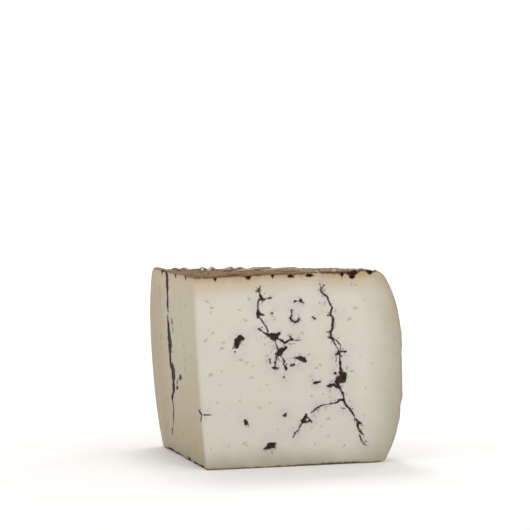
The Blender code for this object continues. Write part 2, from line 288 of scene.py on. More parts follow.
# %% Relief of the top face
FOLD_HEIGHT = 0.6
FOLD_REACH = 0.6      # folds end here, as a share of the radius
FOLDS_ROUND = (5, 17)
FOLD_TWIST = 0.04     # radians a millimetre by which the first wave turns outwards
RING_RISE = 1.1       # the face is fullest just inside its plain band
RING_PLACE = (0.8, 0.15)
MIDDLE_SAG = 0.9      # and it sags round the wheel's axis
SAG_REACH = 30.0
SKIN_HEIGHT = 0.07
WRINKLE_HEIGHT = 0.42
WRINKLE_CHANGE = (32.0, 62.0)  # radii between which the inner kind gives way to the outer
WRINKLE_IN = (0.0, 0.15)       # where wrinkles rise and fall, as shares of the radius
WRINKLE_OUT = (0.932, 0.852)
STRAP_IN = (0.5, 0.6)
STRAP_STRAY = 3.0     # radians by which straps stray from even rings
UNDER_REED = (0.6, 0.5)        # how much of a strap and of a wrinkle a ridge hides
CREST_SHARES = (0.5, 0.25)     # how much straps and wrinkles count as ridges in the finish
DIP_SHADE = 0.4        # painted shade in a strand's dip, beside that at the foot of a ridge
GROOVE_SHADE = (0.75, 0.4)      # painted shade in a groove, and how much less of it on a wrinkle
LINE_SHADE_AND_STREAK = 0.8
LINE_DEPTH = (-0.25, -1.35)    # between these heights a wrinkle's hollow is painted dark, as painted shade
STREAK_SPAN = (0.3, 0.9)       # and above these values a streak of the rind's own dark colour shows


def reeds_at(radius, angle):
    """The reed at each point, the ridge's section and foot there, its fade, and the strands' dips."""
    share = radius / WHEEL_RADIUS
    place = angle / math.tau * REEDS
    place = place + REED_WANDER * field("reed stray", share, place)
    reed = np.floor(place).astype(int) % REEDS
    aside = np.abs(place - np.floor(place) - REED_PEAK)
    power, root = REED_SHAPE
    section = np.clip(1 - (aside / REED_HALF) ** power, 0, 1) ** root
    edge = np.exp(-((aside - REED_HALF) / REED_EDGE) ** 2)
    fade = smooth_step((share - reed_start[reed]) / REED_RISE) * np.clip(share / REED_FULL, 0, 1)
    fade *= ramp(share, REED_OUTER + REED_FALL / 2, REED_OUTER - REED_FALL / 2)
    along = (share - REED_INNER) / (REED_OUTER - REED_INNER) * STRANDS
    strand = np.clip(np.floor(along).astype(int), 0, STRANDS)
    gap = (along - strand - 0.5 - strand_shift[reed, strand]) * STRAND_PITCH
    dip = strand_depth[reed, strand] * np.exp(-(gap / STRAND_HALF) ** 2)
    return reed, section, edge, fade, dip


def slow_relief(radius, angle):
    """Crown, ring, sag and folds of the top face."""
    share = radius / WHEEL_RADIUS
    slow, quick = FOLDS_ROUND
    fold = np.sin(slow * angle + FOLD_TWIST * radius) * np.sin(quick * angle + 1)
    height = FOLD_HEIGHT * fold * np.sin(math.pi * np.clip(share / FOLD_REACH, 0, 1))
    height += CROWN * np.sin(math.pi * np.clip(radius / FLAT_RADIUS, 0, 1))
    ring, reach = RING_PLACE
    height += RING_RISE * np.exp(-((share - ring) / reach) ** 2)
    return height - MIDDLE_SAG * np.exp(-(radius / SAG_REACH) ** 2)


def by_radius(name, radius, angle):
    """A field that has one kind near the axis and another further out."""
    outer = ramp(radius, *WRINKLE_CHANGE)
    return outer * field("outer " + name, angle, radius) + (1 - outer) * field("inner " + name, angle, radius)


def top_relief(x, y):
    """Height of the top above a level plane, and the masks of ridges, grooves and holes."""
    radius, angle = np.hypot(x, y), np.arctan2(y, x)
    share = radius / WHEEL_RADIUS
    reed, section, edge, fade, dip = reeds_at(radius, angle)
    ridge = reed_strength[reed] * fade * section * (1 - dip)
    stray = STRAP_STRAY * field("strap stray", angle, share)
    strap = 0.5 + 0.5 * np.cos(radius * math.tau / STRAP_PITCH + stray)
    strap *= strap_strength[(reed // REEDS_IN_GROUP) % REED_GROUPS] * fade * ramp(share, *STRAP_IN)
    wrinkle = by_radius("wrinkle", radius, angle) * ramp(share, *WRINKLE_IN) * ramp(share, *WRINKLE_OUT)
    deep = holes_at(x, y)
    strap_hidden, wrinkle_hidden = UNDER_REED
    height = slow_relief(radius, angle) + SKIN_HEIGHT * field("skin", x, y) - HOLE_DEPTH * deep
    height += REED_HEIGHT * ridge + STRAP_HEIGHT * strap * (1 - strap_hidden * section)
    height += WRINKLE_HEIGHT * wrinkle * (1 - wrinkle_hidden * section * fade)
    strap_share, wrinkle_share = CREST_SHARES
    crest = np.clip(ridge + strap_share * strap + wrinkle_share * np.clip(wrinkle, 0, 1), 0, 1)
    lines = np.maximum(ramp(wrinkle, *LINE_DEPTH), ramp(by_radius("streak", radius, angle), *STREAK_SPAN))
    # The groove mask is painted shade: darker at the foot of each ridge, in the strands' dips and in wrinkle
    # hollows, with the rind's own dark streaks.
    groove = fade * np.clip(reed_strength[reed], 0, 1) * (edge + DIP_SHADE * dip * section)
    groove_shade, less_on_wrinkle = GROOVE_SHADE
    groove = np.maximum(groove * (groove_shade - less_on_wrinkle * wrinkle), LINE_SHADE_AND_STREAK * lines)
    return height, crest, np.clip(groove, 0, 1), deep


print("rise of the top at its shoulder:", round(float(slow_relief(FLAT_RADIUS, 0.0)), 2), "mm")

# %% [markdown]
# Two cuts made the block. The front cut is straight and upright, just off the wheel's axis. The
# side cut leans by three and a half degrees, bulges a little at mid height and has faint upright
# bands where the blade was rocked. Between the two cuts the paste has a soft corner,
# which is an arc of about a millimetre.

# %% The two cuts
SIDE_TILT = math.radians(3.5)
SIDE_BOW = 0.8
SIDE_RIPPLE = 0.1
CORNER_ROUND = 1.3


def side_cut_x(y, z):
    """Where the tilted, slightly bowed side cut lies."""
    share = 2 * z / WHEEL_HEIGHT - 1
    tilt = -math.tan(SIDE_TILT) * (z - WHEEL_HEIGHT / 2)
    bow = -SIDE_BOW * (1 - np.minimum(1.0, share * share))
    return tilt + bow + SIDE_RIPPLE * field("blade", y, z)


def round_corner(distance):
    """How far along and how far in a point at this distance from the corner moves."""
    turn = np.clip(1 - distance / CORNER_ROUND, 0, 1) * math.pi / 4
    along = np.where(distance < CORNER_ROUND, CORNER_ROUND * (1 - np.sin(turn)), distance)
    return along, CORNER_ROUND * (1 - np.cos(turn))


def on_front(x, z, depth=0.0):
    """Place on the front cut, for a distance along it and a height."""
    corner = side_cut_x(KNIFE_OFF_AXIS, z)
    along, inward = round_corner(x - corner)
    return np.stack([corner + along, KNIFE_OFF_AXIS + inward + depth, z + 0 * x], 1)


def on_side(y, z, depth=0.0):
    """Place on the side cut, for a distance along it and a height."""
    along, inward = round_corner(y - KNIFE_OFF_AXIS)
    return np.stack([side_cut_x(y, z) + inward + depth, KNIFE_OFF_AXIS + along, z + 0 * y], 1)


print("side cut at the foot and at the top:", round(float(side_cut_x(50.0, 0.0)), 2),
      round(float(side_cut_x(50.0, WHEEL_HEIGHT)), 2))

# %% [markdown]
# The rim is a grid: rows run down the section, columns run round the wheel from one cut to the
# other. Its first and last columns lie exactly on the cuts, so the cut faces can take over those
# points as their own border, and the mesh closes with no gap.

# %% The rim
ROUND_ROWS = 7
BARREL_ROWS = 72
RIM_COLUMNS = 216
RIM_RELIEF = 0.6
RIM_REEDS = 0.8       # the rim repeats the reeds that the top has at this share of the radius
RIM_NEUTRAL = 0.4     # strength of a reed that neither stands out of the rim nor sinks in
RIM_WAVE = 0.61       # radians a millimetre of the strands down the rim
RIM_STRAND = (0.45, 0.55)
RIM_DENTS = 0.4
RIM_SKIN = 0.07
FOOT_GROOVE = 0.5
FOOT_SPAN = (0.45, 0.8)
CORNER_ROUNDS = 12    # rounds of reckoning that bring a row's ends onto the cuts


def rim_rows():
    """Radius and height of each row, from the edge of the top face to the edge of the foot."""
    radius, drop = shoulder_curve(ROUND_ROWS)
    barrel = np.linspace(WHEEL_HEIGHT - SHOULDER_ROUND, SHOULDER_ROUND, BARREL_ROWS)
    radii = np.concatenate([radius, rim_radius(barrel), radius[::-1]])
    return radii, np.concatenate([WHEEL_HEIGHT - drop, barrel, drop[::-1]])


def rim_push(angle, z):
    """How far the rim stands out from its turned section."""
    reed, section, _, _, _ = reeds_at(np.full_like(angle, RIM_REEDS * WHEEL_RADIUS), angle)
    least, more = RIM_STRAND
    strand = least + more * np.cos(z * RIM_WAVE + reed)
    level = np.sin(math.pi * np.clip(z / WHEEL_HEIGHT, 0, 1))
    around = angle * WHEEL_RADIUS
    push = RIM_RELIEF * (section * reed_strength[reed] - RIM_NEUTRAL) * strand * level
    push += RIM_DENTS * field("rim dents", around, z) * level
    return push + RIM_SKIN * field("rim skin", around, z) * np.sqrt(level)


def make_rim():
    """The grid of rim points, rows down and columns round."""
    radius, z = rim_rows()
    first = np.zeros_like(z)
    last = np.full_like(z, math.pi / 2)
    for _ in range(CORNER_ROUNDS):
        out = radius + rim_push(first, z)
        first = np.arcsin(KNIFE_OFF_AXIS / out)
        out = radius + rim_push(last, z)
        last = np.arccos(side_cut_x(out * np.sin(last), z) / out)
    part = np.linspace(0, 1, RIM_COLUMNS)
    angle = first[:, None] * (1 - part) + last[:, None] * part
    height = z[:, None] + 0 * angle
    out = radius[:, None] + rim_push(angle, height)
    x, y = out * np.cos(angle), out * np.sin(angle)
    y[:, 0] = KNIFE_OFF_AXIS
    x[:, -1] = side_cut_x(y[:, -1], z)
    for row in range(ROUND_ROWS):
        height[row] += top_relief(x[row], y[row])[0] * (1 - row / ROUND_ROWS) ** 2
    return np.stack([x, y, height], 2)


rim = make_rim()
print("rim grid:", rim.shape[:2], "largest radius", round(float(np.hypot(rim[..., 0], rim[..., 1]).max()), 2))

# %% [markdown]
# Where two faces meet, both need the very same points. These borders are worked out once: along
# the top of each cut, along the foot, and down the soft corner between the cuts.

# %% Borders that faces share
BORDER_STEP = 0.42
BORDER_ROUNDS = 4     # rounds of reckoning that bring a border onto both of its faces
FOOT_FADE = 0.04      # over this share of the radius the foot's grooves begin and end
FOOT_WEAK = 4         # a reed weaker than one in this leaves no ridge in the foot


def foot_relief(x, y):
    """Marks under the foot are grooves, so that the block still stands flat."""
    radius, angle = np.hypot(x, y), np.arctan2(y, x)
    share = radius / WHEEL_RADIUS
    reed, section, _, _, dip = reeds_at(radius, angle)
    weak = np.clip(1 - FOOT_WEAK * reed_strength[reed], 0, 1)
    inner, outer = FOOT_SPAN
    edge = smooth_step((share - inner) / FOOT_FADE) * smooth_step((outer - share) / FOOT_FADE)
    return FOOT_GROOVE * edge * np.clip((1 - section) * (1 - 0.5 * dip) + weak, 0, 1)


def top_height(x, y):
    return WHEEL_HEIGHT + top_relief(x, y)[0]


def border(end, locate, surface, level):
    """Points where a cut meets the top or the foot, from the corner out to the rim."""
    start = side_cut_x(KNIFE_OFF_AXIS, level) if locate is on_front else KNIFE_OFF_AXIS
    count = int((end - start) / BORDER_STEP)
    along = np.linspace(start, end, count + 1)[:-1]
    z = np.full_like(along, level)
    for _ in range(BORDER_ROUNDS):
        places = locate(along, z)
        z = surface(places[:, 0], places[:, 1])
        if locate is on_front:
            along[0] = side_cut_x(KNIFE_OFF_AXIS, z[0])
    return along, locate(along, z)


front_top = border(rim[0, 0, 0], on_front, top_height, WHEEL_HEIGHT)
side_top = border(rim[0, -1, 1], on_side, top_height, WHEEL_HEIGHT)
front_foot = border(rim[-1, 0, 0], on_front, foot_relief, 0.0)
side_foot = border(rim[-1, -1, 1], on_side, foot_relief, 0.0)
corner_rows = np.linspace(front_foot[1][0, 2], front_top[1][0, 2], int(WHEEL_HEIGHT / BORDER_STEP) + 1)[1:-1]
corner_places = on_front(side_cut_x(KNIFE_OFF_AXIS, corner_rows), corner_rows)
print("border points:", [len(part[0]) for part in (front_top, side_top, front_foot, side_foot)])
print("corner gap:", np.abs(front_top[1][0] - side_top[1][0]).max())

# %% [markdown]
# The round faces and the cuts are filled with triangles by Blender's constrained triangulation.
# It keeps a given outline and joins any cloud of points inside it. The points come from a lattice
# of even triangles, so the mesh can be dense where there is something to show and open elsewhere.

# %% Lattices and triangulation
FILL_INSIDE = 1       # the kind of triangulation that stays within its outline
SAME_POINT = 1e-7     # points closer than this count as one


def lattice(step, low, high):
    """Row and column numbers and places of an even triangular lattice over a box."""
    rise = step * math.sqrt(3) / 2
    rows = np.arange(math.floor(low[1] / rise), math.ceil(high[1] / rise) + 1)
    first = math.floor((low[0] - rows[-1] * step / 2) / step)
    last = math.ceil((high[0] - rows[0] * step / 2) / step)
    column, row = np.meshgrid(np.arange(first, last + 1), rows)
    place = np.stack([column * step + row * step / 2, row * rise], -1)
    inside = (place[..., 0] > low[0]) & (place[..., 0] < high[0])
    return column[inside], row[inside], place[inside]


def triangulate(outline, inner):
    """Triangles over an outline with points inside it, as indices into both lists joined."""
    points = [Vector(point) for point in np.concatenate([outline, inner]).tolist()]
    made = delaunay_2d_cdt(points, [], [list(range(len(outline)))], FILL_INSIDE, SAME_POINT)
    faces, sources = made[2:4]
    return np.array([[sources[corner][0] for corner in face] for face in faces])


print("lattice test:", len(lattice(1.0, (0.0, 0.0), (4.0, 4.0))[2]), "points")

# %% The round faces
TOP_STEP = 0.62
FOOT_STEP = 1.8
BORDER_GAP = 0.28     # points inside stay this far from a border
LATTICE_START = -6.0  # left of the leaning side cut
LATTICE_SHAKE = 0.06  # how far a point strays from its lattice, as a share of the step


def round_face(front_border, side_border, arc, step, surface, seed):
    """Places and triangles of the top or the foot."""
    outline = np.concatenate([front_border, arc, side_border[:0:-1]])
    _, _, inner = lattice(step, (LATTICE_START, 0.0), (FLAT_RADIUS, FLAT_RADIUS))
    shake = np.random.RandomState(seed).uniform(-LATTICE_SHAKE, LATTICE_SHAKE, inner.shape)
    inner = inner + shake * step
    x, y = inner.T
    gap = BORDER_GAP * step / TOP_STEP
    keep = (y > KNIFE_OFF_AXIS + gap) & (x > side_cut_x(y, outline[:, 2].mean()) + gap)
    keep &= np.hypot(x, y) < FLAT_RADIUS - gap
    keep &= np.hypot(x - outline[0, 0], y - outline[0, 1]) > CORNER_ROUND
    x, y = x[keep], y[keep]
    places = np.stack([x, y, surface(x, y)], 1)
    return np.concatenate([outline, places]), triangulate(outline[:, :2], inner[keep])


top_places, top_faces = round_face(front_top[1], side_top[1], rim[0], TOP_STEP, top_height, 1)
foot_places, foot_faces = round_face(front_foot[1], side_foot[1], rim[-1], FOOT_STEP, foot_relief, 2)
print("top triangles:", len(top_faces), "foot triangles:", len(foot_faces))

# %% [markdown]
# Truffle shows on the cuts in two ways: thin dark seams that wander between curds, and chunks
# where a shaving was cut through. Each seam is a route with a half width at every point, in
# millimetres from the wheel's axis and above the foot. Chunks are short, fat routes.

# %% Truffle on the front cut
FRONT_TRUFFLE = (
    # the upper end of the left seam, with its small spur
    ((33.4, 99.0, 0.2), (32.4, 96.7, 0.45), (32.7, 94.9, 0.45), (33.6, 93.2, 0.7), (34.2, 92.2, 1.1)),
    ((31.2, 96.2, 0.25), (32.4, 95.9, 0.35)),
    ((32.6, 91.7, 0.45), (35.7, 91.7, 0.45)),
    ((35.6, 91.9, 0.35), (37.3, 92.3, 0.15), (39.1, 92.5, 0.4)),
    ((32.6, 91.6, 0.35), (31.9, 89.9, 0.3), (32.1, 87.9, 0.25), (31.9, 85.5, 0.4), (32.2, 83.6, 0.9)),
    ((31.4, 84.4, 0.5), (32.2, 82.4, 0.85)),
    ((32.6, 83.9, 0.7), (35.3, 83.2, 0.45)),
    ((33.4, 81.3, 0.3), (34.3, 80.1, 0.42), (36.6, 76.6, 0.38), (37.6, 74.2, 0.28)),
    # the upper chunk and its branches
    ((32.6, 75.7, 0.5), (34.3, 74.4, 0.3), (37.6, 72.3, 0.6), (39.5, 71.5, 1.2)),
    ((39.5, 71.6, 1.3), (41.3, 71.2, 1.9), (43.5, 72.6, 1.0)),
    ((42.8, 70.4, 0.8), (45.6, 68.9, 0.45), (47.3, 67.9, 0.5), (48.9, 69.0, 0.45), (51, 69.4, 0.55),
     (53.3, 69.1, 0.3), (55.8, 69.0, 0.22)),
    ((50.2, 71.2, 0.3), (51, 69.6, 0.5)),
    ((41.4, 69.6, 0.4), (42.1, 67.2, 0.26), (43, 64.9, 0.35)),
    # the lower chunk and its threads
    ((42.9, 61.9, 1.2), (44.2, 62.9, 1.75), (46.4, 64.1, 1.15), (47.8, 64.9, 0.7)),
    ((42.4, 60.4, 0.4), (42.2, 58.6, 0.1), (41.6, 57, 0.45), (41.5, 55.2, 0.1), (41.6, 54.1, 0.6)),
    ((39.9, 54.3, 0.3), (41.0, 54.1, 0.75), (43.2, 53.9, 0.2)),
    ((45, 60.6, 0.25), (47, 57.6, 0.35), (46.1, 56.3, 0.4), (48, 53.6, 0.65)),
    # the hook, the chunk at its right, and the chunk at the far left
    ((51.1, 85.5, 0.45), (51.2, 82.8, 0.4), (50.3, 81.1, 0.5), (51.4, 79.8, 0.55), (53.2, 79.0, 0.65),
     (54.6, 79.4, 0.55), (55.4, 80.8, 0.35)),
    ((63, 81.6, 0.3), (64.5, 80.8, 0.42)),
    ((53.2, 90.4, 0.45), (54.6, 90.4, 0.15), (56.2, 90.7, 0.85), (57.9, 89.5, 0.3)),
    ((52.0, 59.5, 0.3), (54.0, 59.2, 0.6), (56.2, 59.0, 1.25), (57.8, 58.5, 1.4), (58.9, 57.7, 0.8)),
    ((23.4, 70.5, 0.8), (21.8, 71.0, 1.3), (20.7, 69.2, 1.7), (20.0, 67.3, 1.35), (20.0, 66.3, 0.9)),
    ((18.7, 66.4, 0.3), (17.4, 65.3, 0.2)),
    # the long seam on the right, from the rind to the foot
    ((67.1, 99.9, 0.3), (68.2, 97.4, 0.42), (67.9, 95.9, 0.5), (69.3, 94.2, 0.3), (71.5, 92.9, 0.65),
     (72.3, 90.6, 0.45), (73.2, 88.4, 0.4), (74.2, 86.5, 0.5), (73.5, 84.3, 0.55), (73.3, 82.6, 0.55),
     (74.7, 81.3, 0.5), (75.2, 79.9, 0.55), (74.6, 77.7, 0.5), (74.6, 75.2, 0.6), (73.8, 73.2, 0.7),
     (73.7, 71.5, 0.45), (73.4, 70.0, 0.55), (74.9, 69.2, 0.65), (75.4, 67.4, 0.45)),
    ((70, 99.2, 0.2), (68.6, 97.3, 0.35)),
    ((73.3, 82.6, 0.45), (71.9, 82.3, 0.28)),
    ((73.8, 73.3, 0.55), (71.2, 73.2, 0.3)),
    ((73.4, 70, 0.45), (71.9, 70.3, 0.3)),
    ((75.4, 67.2, 0.35), (76.6, 65.5, 0.2), (77.8, 63.7, 0.25), (78.2, 62.3, 0.7)),
    ((75.6, 69, 0.35), (77.6, 67.8, 0.4), (79.2, 65.8, 0.22), (79.3, 64.4, 0.22), (78.5, 62.9, 0.35)),
    ((78.4, 62.1, 1.0), (76.7, 60.8, 0.75)),
    ((78.8, 62.1, 0.6), (80.4, 62.2, 0.25), (82.3, 62.1, 0.55)),
    ((78.6, 61.5, 0.7), (78.9, 60, 0.5), (78.9, 57, 0.5), (79.3, 54.1, 0.55), (79.2, 52.2, 0.8)),
    ((77, 58.9, 0.25), (76.4, 56.8, 0.28)),
    # the large chunk in the seam, then the seam's lower run
    ((79.4, 50.8, 1.25), (80.9, 49.2, 1.9), (80.6, 46.6, 1.8), (78.5, 47.4, 1.7), (77.6, 45.4, 1.6),
     (77.6, 43.6, 1.1)),
    ((76.1, 50.2, 0.65), (76.4, 50.0, 0.6)),
    ((77.2, 42.9, 0.8), (75.4, 44.0, 0.9), (73.4, 43.5, 1.1), (71.6, 43.4, 0.7)),
    ((77.6, 43.2, 0.8), (78.7, 42.3, 0.75), (79.8, 40.4, 0.55), (80.8, 38.6, 0.5), (81.1, 36.7, 0.45),
     (80.7, 35.4, 0.55), (82, 33, 0.45), (83.7, 31.1, 0.65), (84.9, 29.9, 0.55), (86, 28.1, 0.45),
     (87, 26.5, 0.42), (87.8, 25, 0.3), (89.4, 23.2, 0.65), (90.9, 22, 0.5)),
    ((87.1, 25.6, 0.35), (87.3, 23.4, 0.25)),
    ((89.6, 22.8, 0.5), (89.2, 20.8, 0.55), (89.9, 18.4, 0.55), (91, 17.2, 0.55), (92.4, 15.8, 0.3)),
    ((90.4, 14.9, 0.35), (91.1, 13.2, 0.3), (91.8, 11.9, 0.3), (93, 10.4, 0.3), (94.5, 9.7, 0.2)),
    # the seam that branches off to the left, the little star on it and its tail
    ((80.7, 35.3, 0.45), (78.2, 35.5, 0.55), (77.6, 34.4, 0.35), (76, 34, 0.25), (74, 33.6, 0.3),
     (71.5, 33.3, 0.2), (68.9, 33.0, 0.26), (66.4, 32.1, 0.5), (65, 31.3, 0.3), (63.5, 30, 0.3),
     (62, 28.9, 0.2)),
    ((79.6, 30.9, 0.25), (81.2, 30.7, 0.25)),
    ((58.9, 27.8, 0.75), (58.5, 26.3, 1.05), (57.2, 24.4, 0.95)),
    ((57.1, 24.1, 0.75), (59.2, 24.2, 0.5), (61.2, 24.9, 0.6), (62.6, 23.9, 0.35)),
    ((58.8, 27.6, 0.5), (60.1, 26.4, 0.4), (61.2, 25.1, 0.5)),
    ((56.5, 22.9, 0.25), (55.6, 21.5, 0.42), (54.7, 20, 0.35), (53.3, 18.8, 0.25), (51.8, 16.1, 0.15)),
    # loose shavings
    ((34.6, 10.0, 0.25), (36.6, 10.9, 0.75), (38.4, 11.7, 1.5), (39.8, 12.1, 1.35), (41.4, 13.1, 0.5)),
    ((39.6, 11.3, 1.1), (41.3, 11.2, 0.45)),
    ((63.7, 45.1, 0.45), (65.5, 45.6, 0.65), (67.2, 45.8, 0.4)),
    ((24.8, 25.7, 0.95), (25.3, 24.3, 1.05)),
    ((45.4, 27.9, 0.3), (47, 28.1, 0.8)),
    ((52.3, 55.6, 0.5), (50.4, 55.2, 0.4)),
    ((46.5, 49.2, 0.5), (46.6, 49.0, 0.45)),
    ((39.9, 84.2, 0.5), (40.0, 83.9, 0.45)),
    ((38.0, 59.3, 0.4), (38.8, 57.1, 0.42)),
    ((0.4, 29.8, 0.4), (2.0, 29.9, 0.25), (3.0, 30.1, 0.28), (5.2, 29.9, 0.35)),
)
print("routes on the front cut:", len(FRONT_TRUFFLE))

# %% Truffle on the side cut
SIDE_TRUFFLE = (
    # the long seam, broken in two places near the rind
    ((67.9, 105.5, 1.5), (65.8, 102, 2.3), (66.0, 96.2, 2.4), (66.4, 93.2, 1.5)),
    ((66.3, 90.6, 1.6), (67.0, 86.5, 2.0), (66.5, 83.6, 1.1)),
    ((68.1, 79.3, 1.1), (67.7, 76, 1.7), (67.6, 73.9, 2.3), (67.2, 70, 2.9), (66.8, 67.9, 3.5),
     (65.9, 64.7, 3.9), (66.8, 62.2, 3.2), (67.8, 59.7, 2.0), (67.6, 55.7, 2.0), (67.8, 52.6, 2.2),
     (66.0, 51, 2.4), (63.9, 49.9, 2.9), (62.7, 47.9, 4.2), (63.4, 45.7, 2.9), (63.6, 43.2, 1.6)),
    ((63.7, 41.9, 1.6), (63.8, 40.2, 2.7), (64.8, 38.0, 1.9), (66.5, 35.7, 0.9), (69.9, 32.4, 1.8),
     (69, 30, 1.0), (68.6, 27, 0.9), (68.8, 24.9, 1.0), (71.7, 20.3, 0.7), (73, 17, 0.3)),
    ((76.6, 13.8, 0.9), (77.8, 11.1, 0.5)),
    # loose shavings beside it
    ((58.0, 79.3, 0.7), (58.0, 77.0, 1.0)),
    ((57.4, 75.2, 0.3), (56.8, 71.5, 0.4)),
    ((43.9, 46.9, 1.1), (47.2, 46.0, 1.3)),
    ((53.0, 44.6, 0.5), (55.2, 42.6, 0.6)),
    ((54.0, 40.0, 0.9), (56.9, 39.5, 1.0)),
    # the shaving that both cuts went through, at the corner
    ((8.4, 31.4, 0.6), (5.0, 30.4, 0.6), (1.8, 29.8, 0.5)),
    ((2.6, 29.6, 0.5), (4.6, 28.0, 0.55), (6.6, 26.0, 0.35)),
)
print("routes on the side cut:", len(SIDE_TRUFFLE))

# %% [markdown]
# A seam of truffle sheds crumbs into the curd beside it. They are drawn at random along the routes,
# a little off to one side, as routes with one short leg each.

# %% Truffle crumbs
FRONT_WIDEN = (1.1, 0.07)  # a share and a little more, for what the frayed edges take away
SIDE_WIDEN = (1.15, 0.15)
CRUMB_SPACING = 2.6
CRUMB_OFFSET = (0.5, 2.6)
CRUMB_HALF = (0.06, 0.34)
CRUMB_LENGTH = (0.1, 0.7)
LEAST_LEG = 0.01      # keeps a leg of no length from dividing by nothing


def scatter_crumbs(routes, seed):
    """Short, thin routes beside the given ones."""
    draw = random.Random(seed)
    crumbs = []
    for route in routes:
        for (ax, az, a_half), (bx, bz, b_half) in zip(route, route[1:]):
            length = math.hypot(bx - ax, bz - az)
            for _ in range(int(length / CRUMB_SPACING + draw.random())):
                part, side = draw.random(), draw.choice((-1, 1))
                away = side * (max(a_half, b_half) + draw.uniform(*CRUMB_OFFSET) * draw.random())
                away /= length + LEAST_LEG
                x = ax + part * (bx - ax) - away * (bz - az)
                z = az + part * (bz - az) + away * (bx - ax)
                half, turn = draw.uniform(*CRUMB_HALF), draw.uniform(0, math.tau)
                reach = draw.uniform(*CRUMB_LENGTH)
                end = (x + reach * math.cos(turn), z + reach * math.sin(turn), half / 2)
                crumbs.append(((x, z, half), end))
    return crumbs


def widen(routes, share, more):
    """The same routes with larger half widths."""
    return [[(x, z, share * half + more) for x, z, half in route] for route in routes]


front_routes = widen(FRONT_TRUFFLE, *FRONT_WIDEN)
side_routes = widen(SIDE_TRUFFLE, *SIDE_WIDEN)
front_routes += scatter_crumbs(front_routes, 21)
side_routes += scatter_crumbs(side_routes, 22)
print("routes with crumbs:", len(front_routes), "and", len(side_routes))

# %% [markdown]
# Eyes are the small openings that gas leaves in the paste. They are shallow ovals, each turned its
# own way. The larger ones lie where the solid has them, and finer ones are drawn at random.

# %% Eyes
FRONT_EYES = (
    (3.5, 91), (6, 87.5), (21.5, 86), (27, 92), (25, 80.5), (6.5, 74), (2.5, 70), (12.5, 69),
    (11.5, 65.5), (22, 59), (25.5, 57.5), (5.5, 51.5), (32.3, 32.6), (23.7, 13.6), (72, 25),
    (84.5, 80), (88, 86), (86, 51), (61, 61), (57, 73), (62.3, 49), (65.2, 53.6), (41.5, 80.7),
)
SIDE_EYES = ((24, 88), (38, 71), (18, 60), (33, 52), (49, 24), (27, 20), (88, 66), (84, 30))
EYE_HALF = (1.35, 0.65)
EYE_DRAW = (0.9, 0.75, 1.2)        # turn to either side, least size and largest size
SMALL_EYES = 75
SMALL_EYE_HALF = (0.55, 0.32)
SMALL_EYE_DRAW = (1.5, 0.6, 1.5)
SMALL_EYE_MARGINS = (3, 6, 5)      # free of small eyes by the corner, over the foot and under the top
FRONT_EYE_REACH = 100
SIDE_EYE_REACH = 96
EYE_FRAY = 0.3
EYE_SOFT = 1.25       # an eye ends at this many half sizes
EYE_WINDOW = 3        # no eye reaches farther than this from its middle
FRONT_HOLES = (  # torn openings just under the rind: along, up, half width, half height
    (50.4, 104.1, 2.5, 0.95), (61.4, 104.5, 2.6, 1.1), (27.2, 103.3, 1.0, 0.6), (86.0, 103.5, 2.0, 1.5),
)
# Along the foot these chips are painted dark: partly the rind's own dark edge, partly painted shadow under
# the foot.
SIDE_HOLES = (   # chips along the foot
    (84.0, 1.0, 8.0, 0.8), (65.0, 0.8, 6.5, 0.6), (40.5, 1.2, 4.0, 1.1), (25.0, 0.7, 6.5, 0.55),
    (11.5, 0.7, 5.0, 0.75),
)
OPENING_FRAY = 0.28


def make_eyes(places, reach, seed):
    """Middle, half sizes, turn and size of every eye on one cut."""
    draw = random.Random(seed)

    def eye(x, z, half, turn, least, most):
        return x, z, half, draw.uniform(-turn, turn), draw.uniform(least, most)

    eyes = [eye(x, z, EYE_HALF, *EYE_DRAW) for x, z in places]
    beside, above, below = SMALL_EYE_MARGINS
    for _ in range(SMALL_EYES):
        x, z = draw.uniform(beside, reach), draw.uniform(above, WHEEL_HEIGHT - below)
        eyes.append(eye(x, z, SMALL_EYE_HALF, *SMALL_EYE_DRAW))
    return eyes


def eye_field(x, z, eyes):
    """One in the middle of an eye, falling to nothing at its edge."""
    found = np.zeros_like(x)
    ragged = 1 + EYE_FRAY * field("eye edge", x, z)
    for centre_x, centre_z, (half_x, half_z), turn, size in eyes:
        u, v = x - centre_x, z - centre_z
        near = (np.abs(u) < EYE_WINDOW) & (np.abs(v) < EYE_WINDOW)
        u, v = u[near], v[near]
        along = (u * math.cos(turn) + v * math.sin(turn)) / (half_x * size)
        across = (v * math.cos(turn) - u * math.sin(turn)) / (half_z * size)
        found[near] = np.maximum(found[near], 1 - np.hypot(along, across) * ragged[near] / EYE_SOFT)
    return found


def hole_field(x, z, holes):
    """One in the middle of a torn opening, falling below nothing outside it."""
    found = np.full_like(x, -1.0)
    ragged = OPENING_FRAY * field("opening edge", x, z)
    for centre_x, centre_z, half_x, half_z in holes:
        found = np.maximum(found, 1 - np.hypot((x - centre_x) / half_x, (z - centre_z) / half_z) + ragged)
    return found


front_eyes = make_eyes(FRONT_EYES, FRONT_EYE_REACH, 3)
side_eyes = make_eyes(SIDE_EYES, SIDE_EYE_REACH, 4)
print("eyes:", len(front_eyes), "and", len(side_eyes))

# %% [markdown]
# A dark seam painted on a smooth wall looks printed. Here each point of a cut gets its distance
# to the nearest truffle edge. The mesh is finer near those edges and sinks a little inside them,
# and the same distance later tells the finish where the dark begins. Random fields fray the edge.

# %% Distance to truffle
FRAY = ((1.7, 0.1, 0.28), (0.75, 0.07, 0.22), (0.36, 0.05, 0.12))
# each layer of fray has a size, its least move of the edge, and more of it for a thick piece
FRAY_THICK = 1.2      # a piece with this half width frays the most
FRAY_SHIFT = 40       # where on its table of random numbers the fray starts
FAR = 9.0             # distance of a point that has no truffle near it
LEG_WINDOW = 8.0      # how far round a leg of a route its distance is worked out
TINY = 1e-9


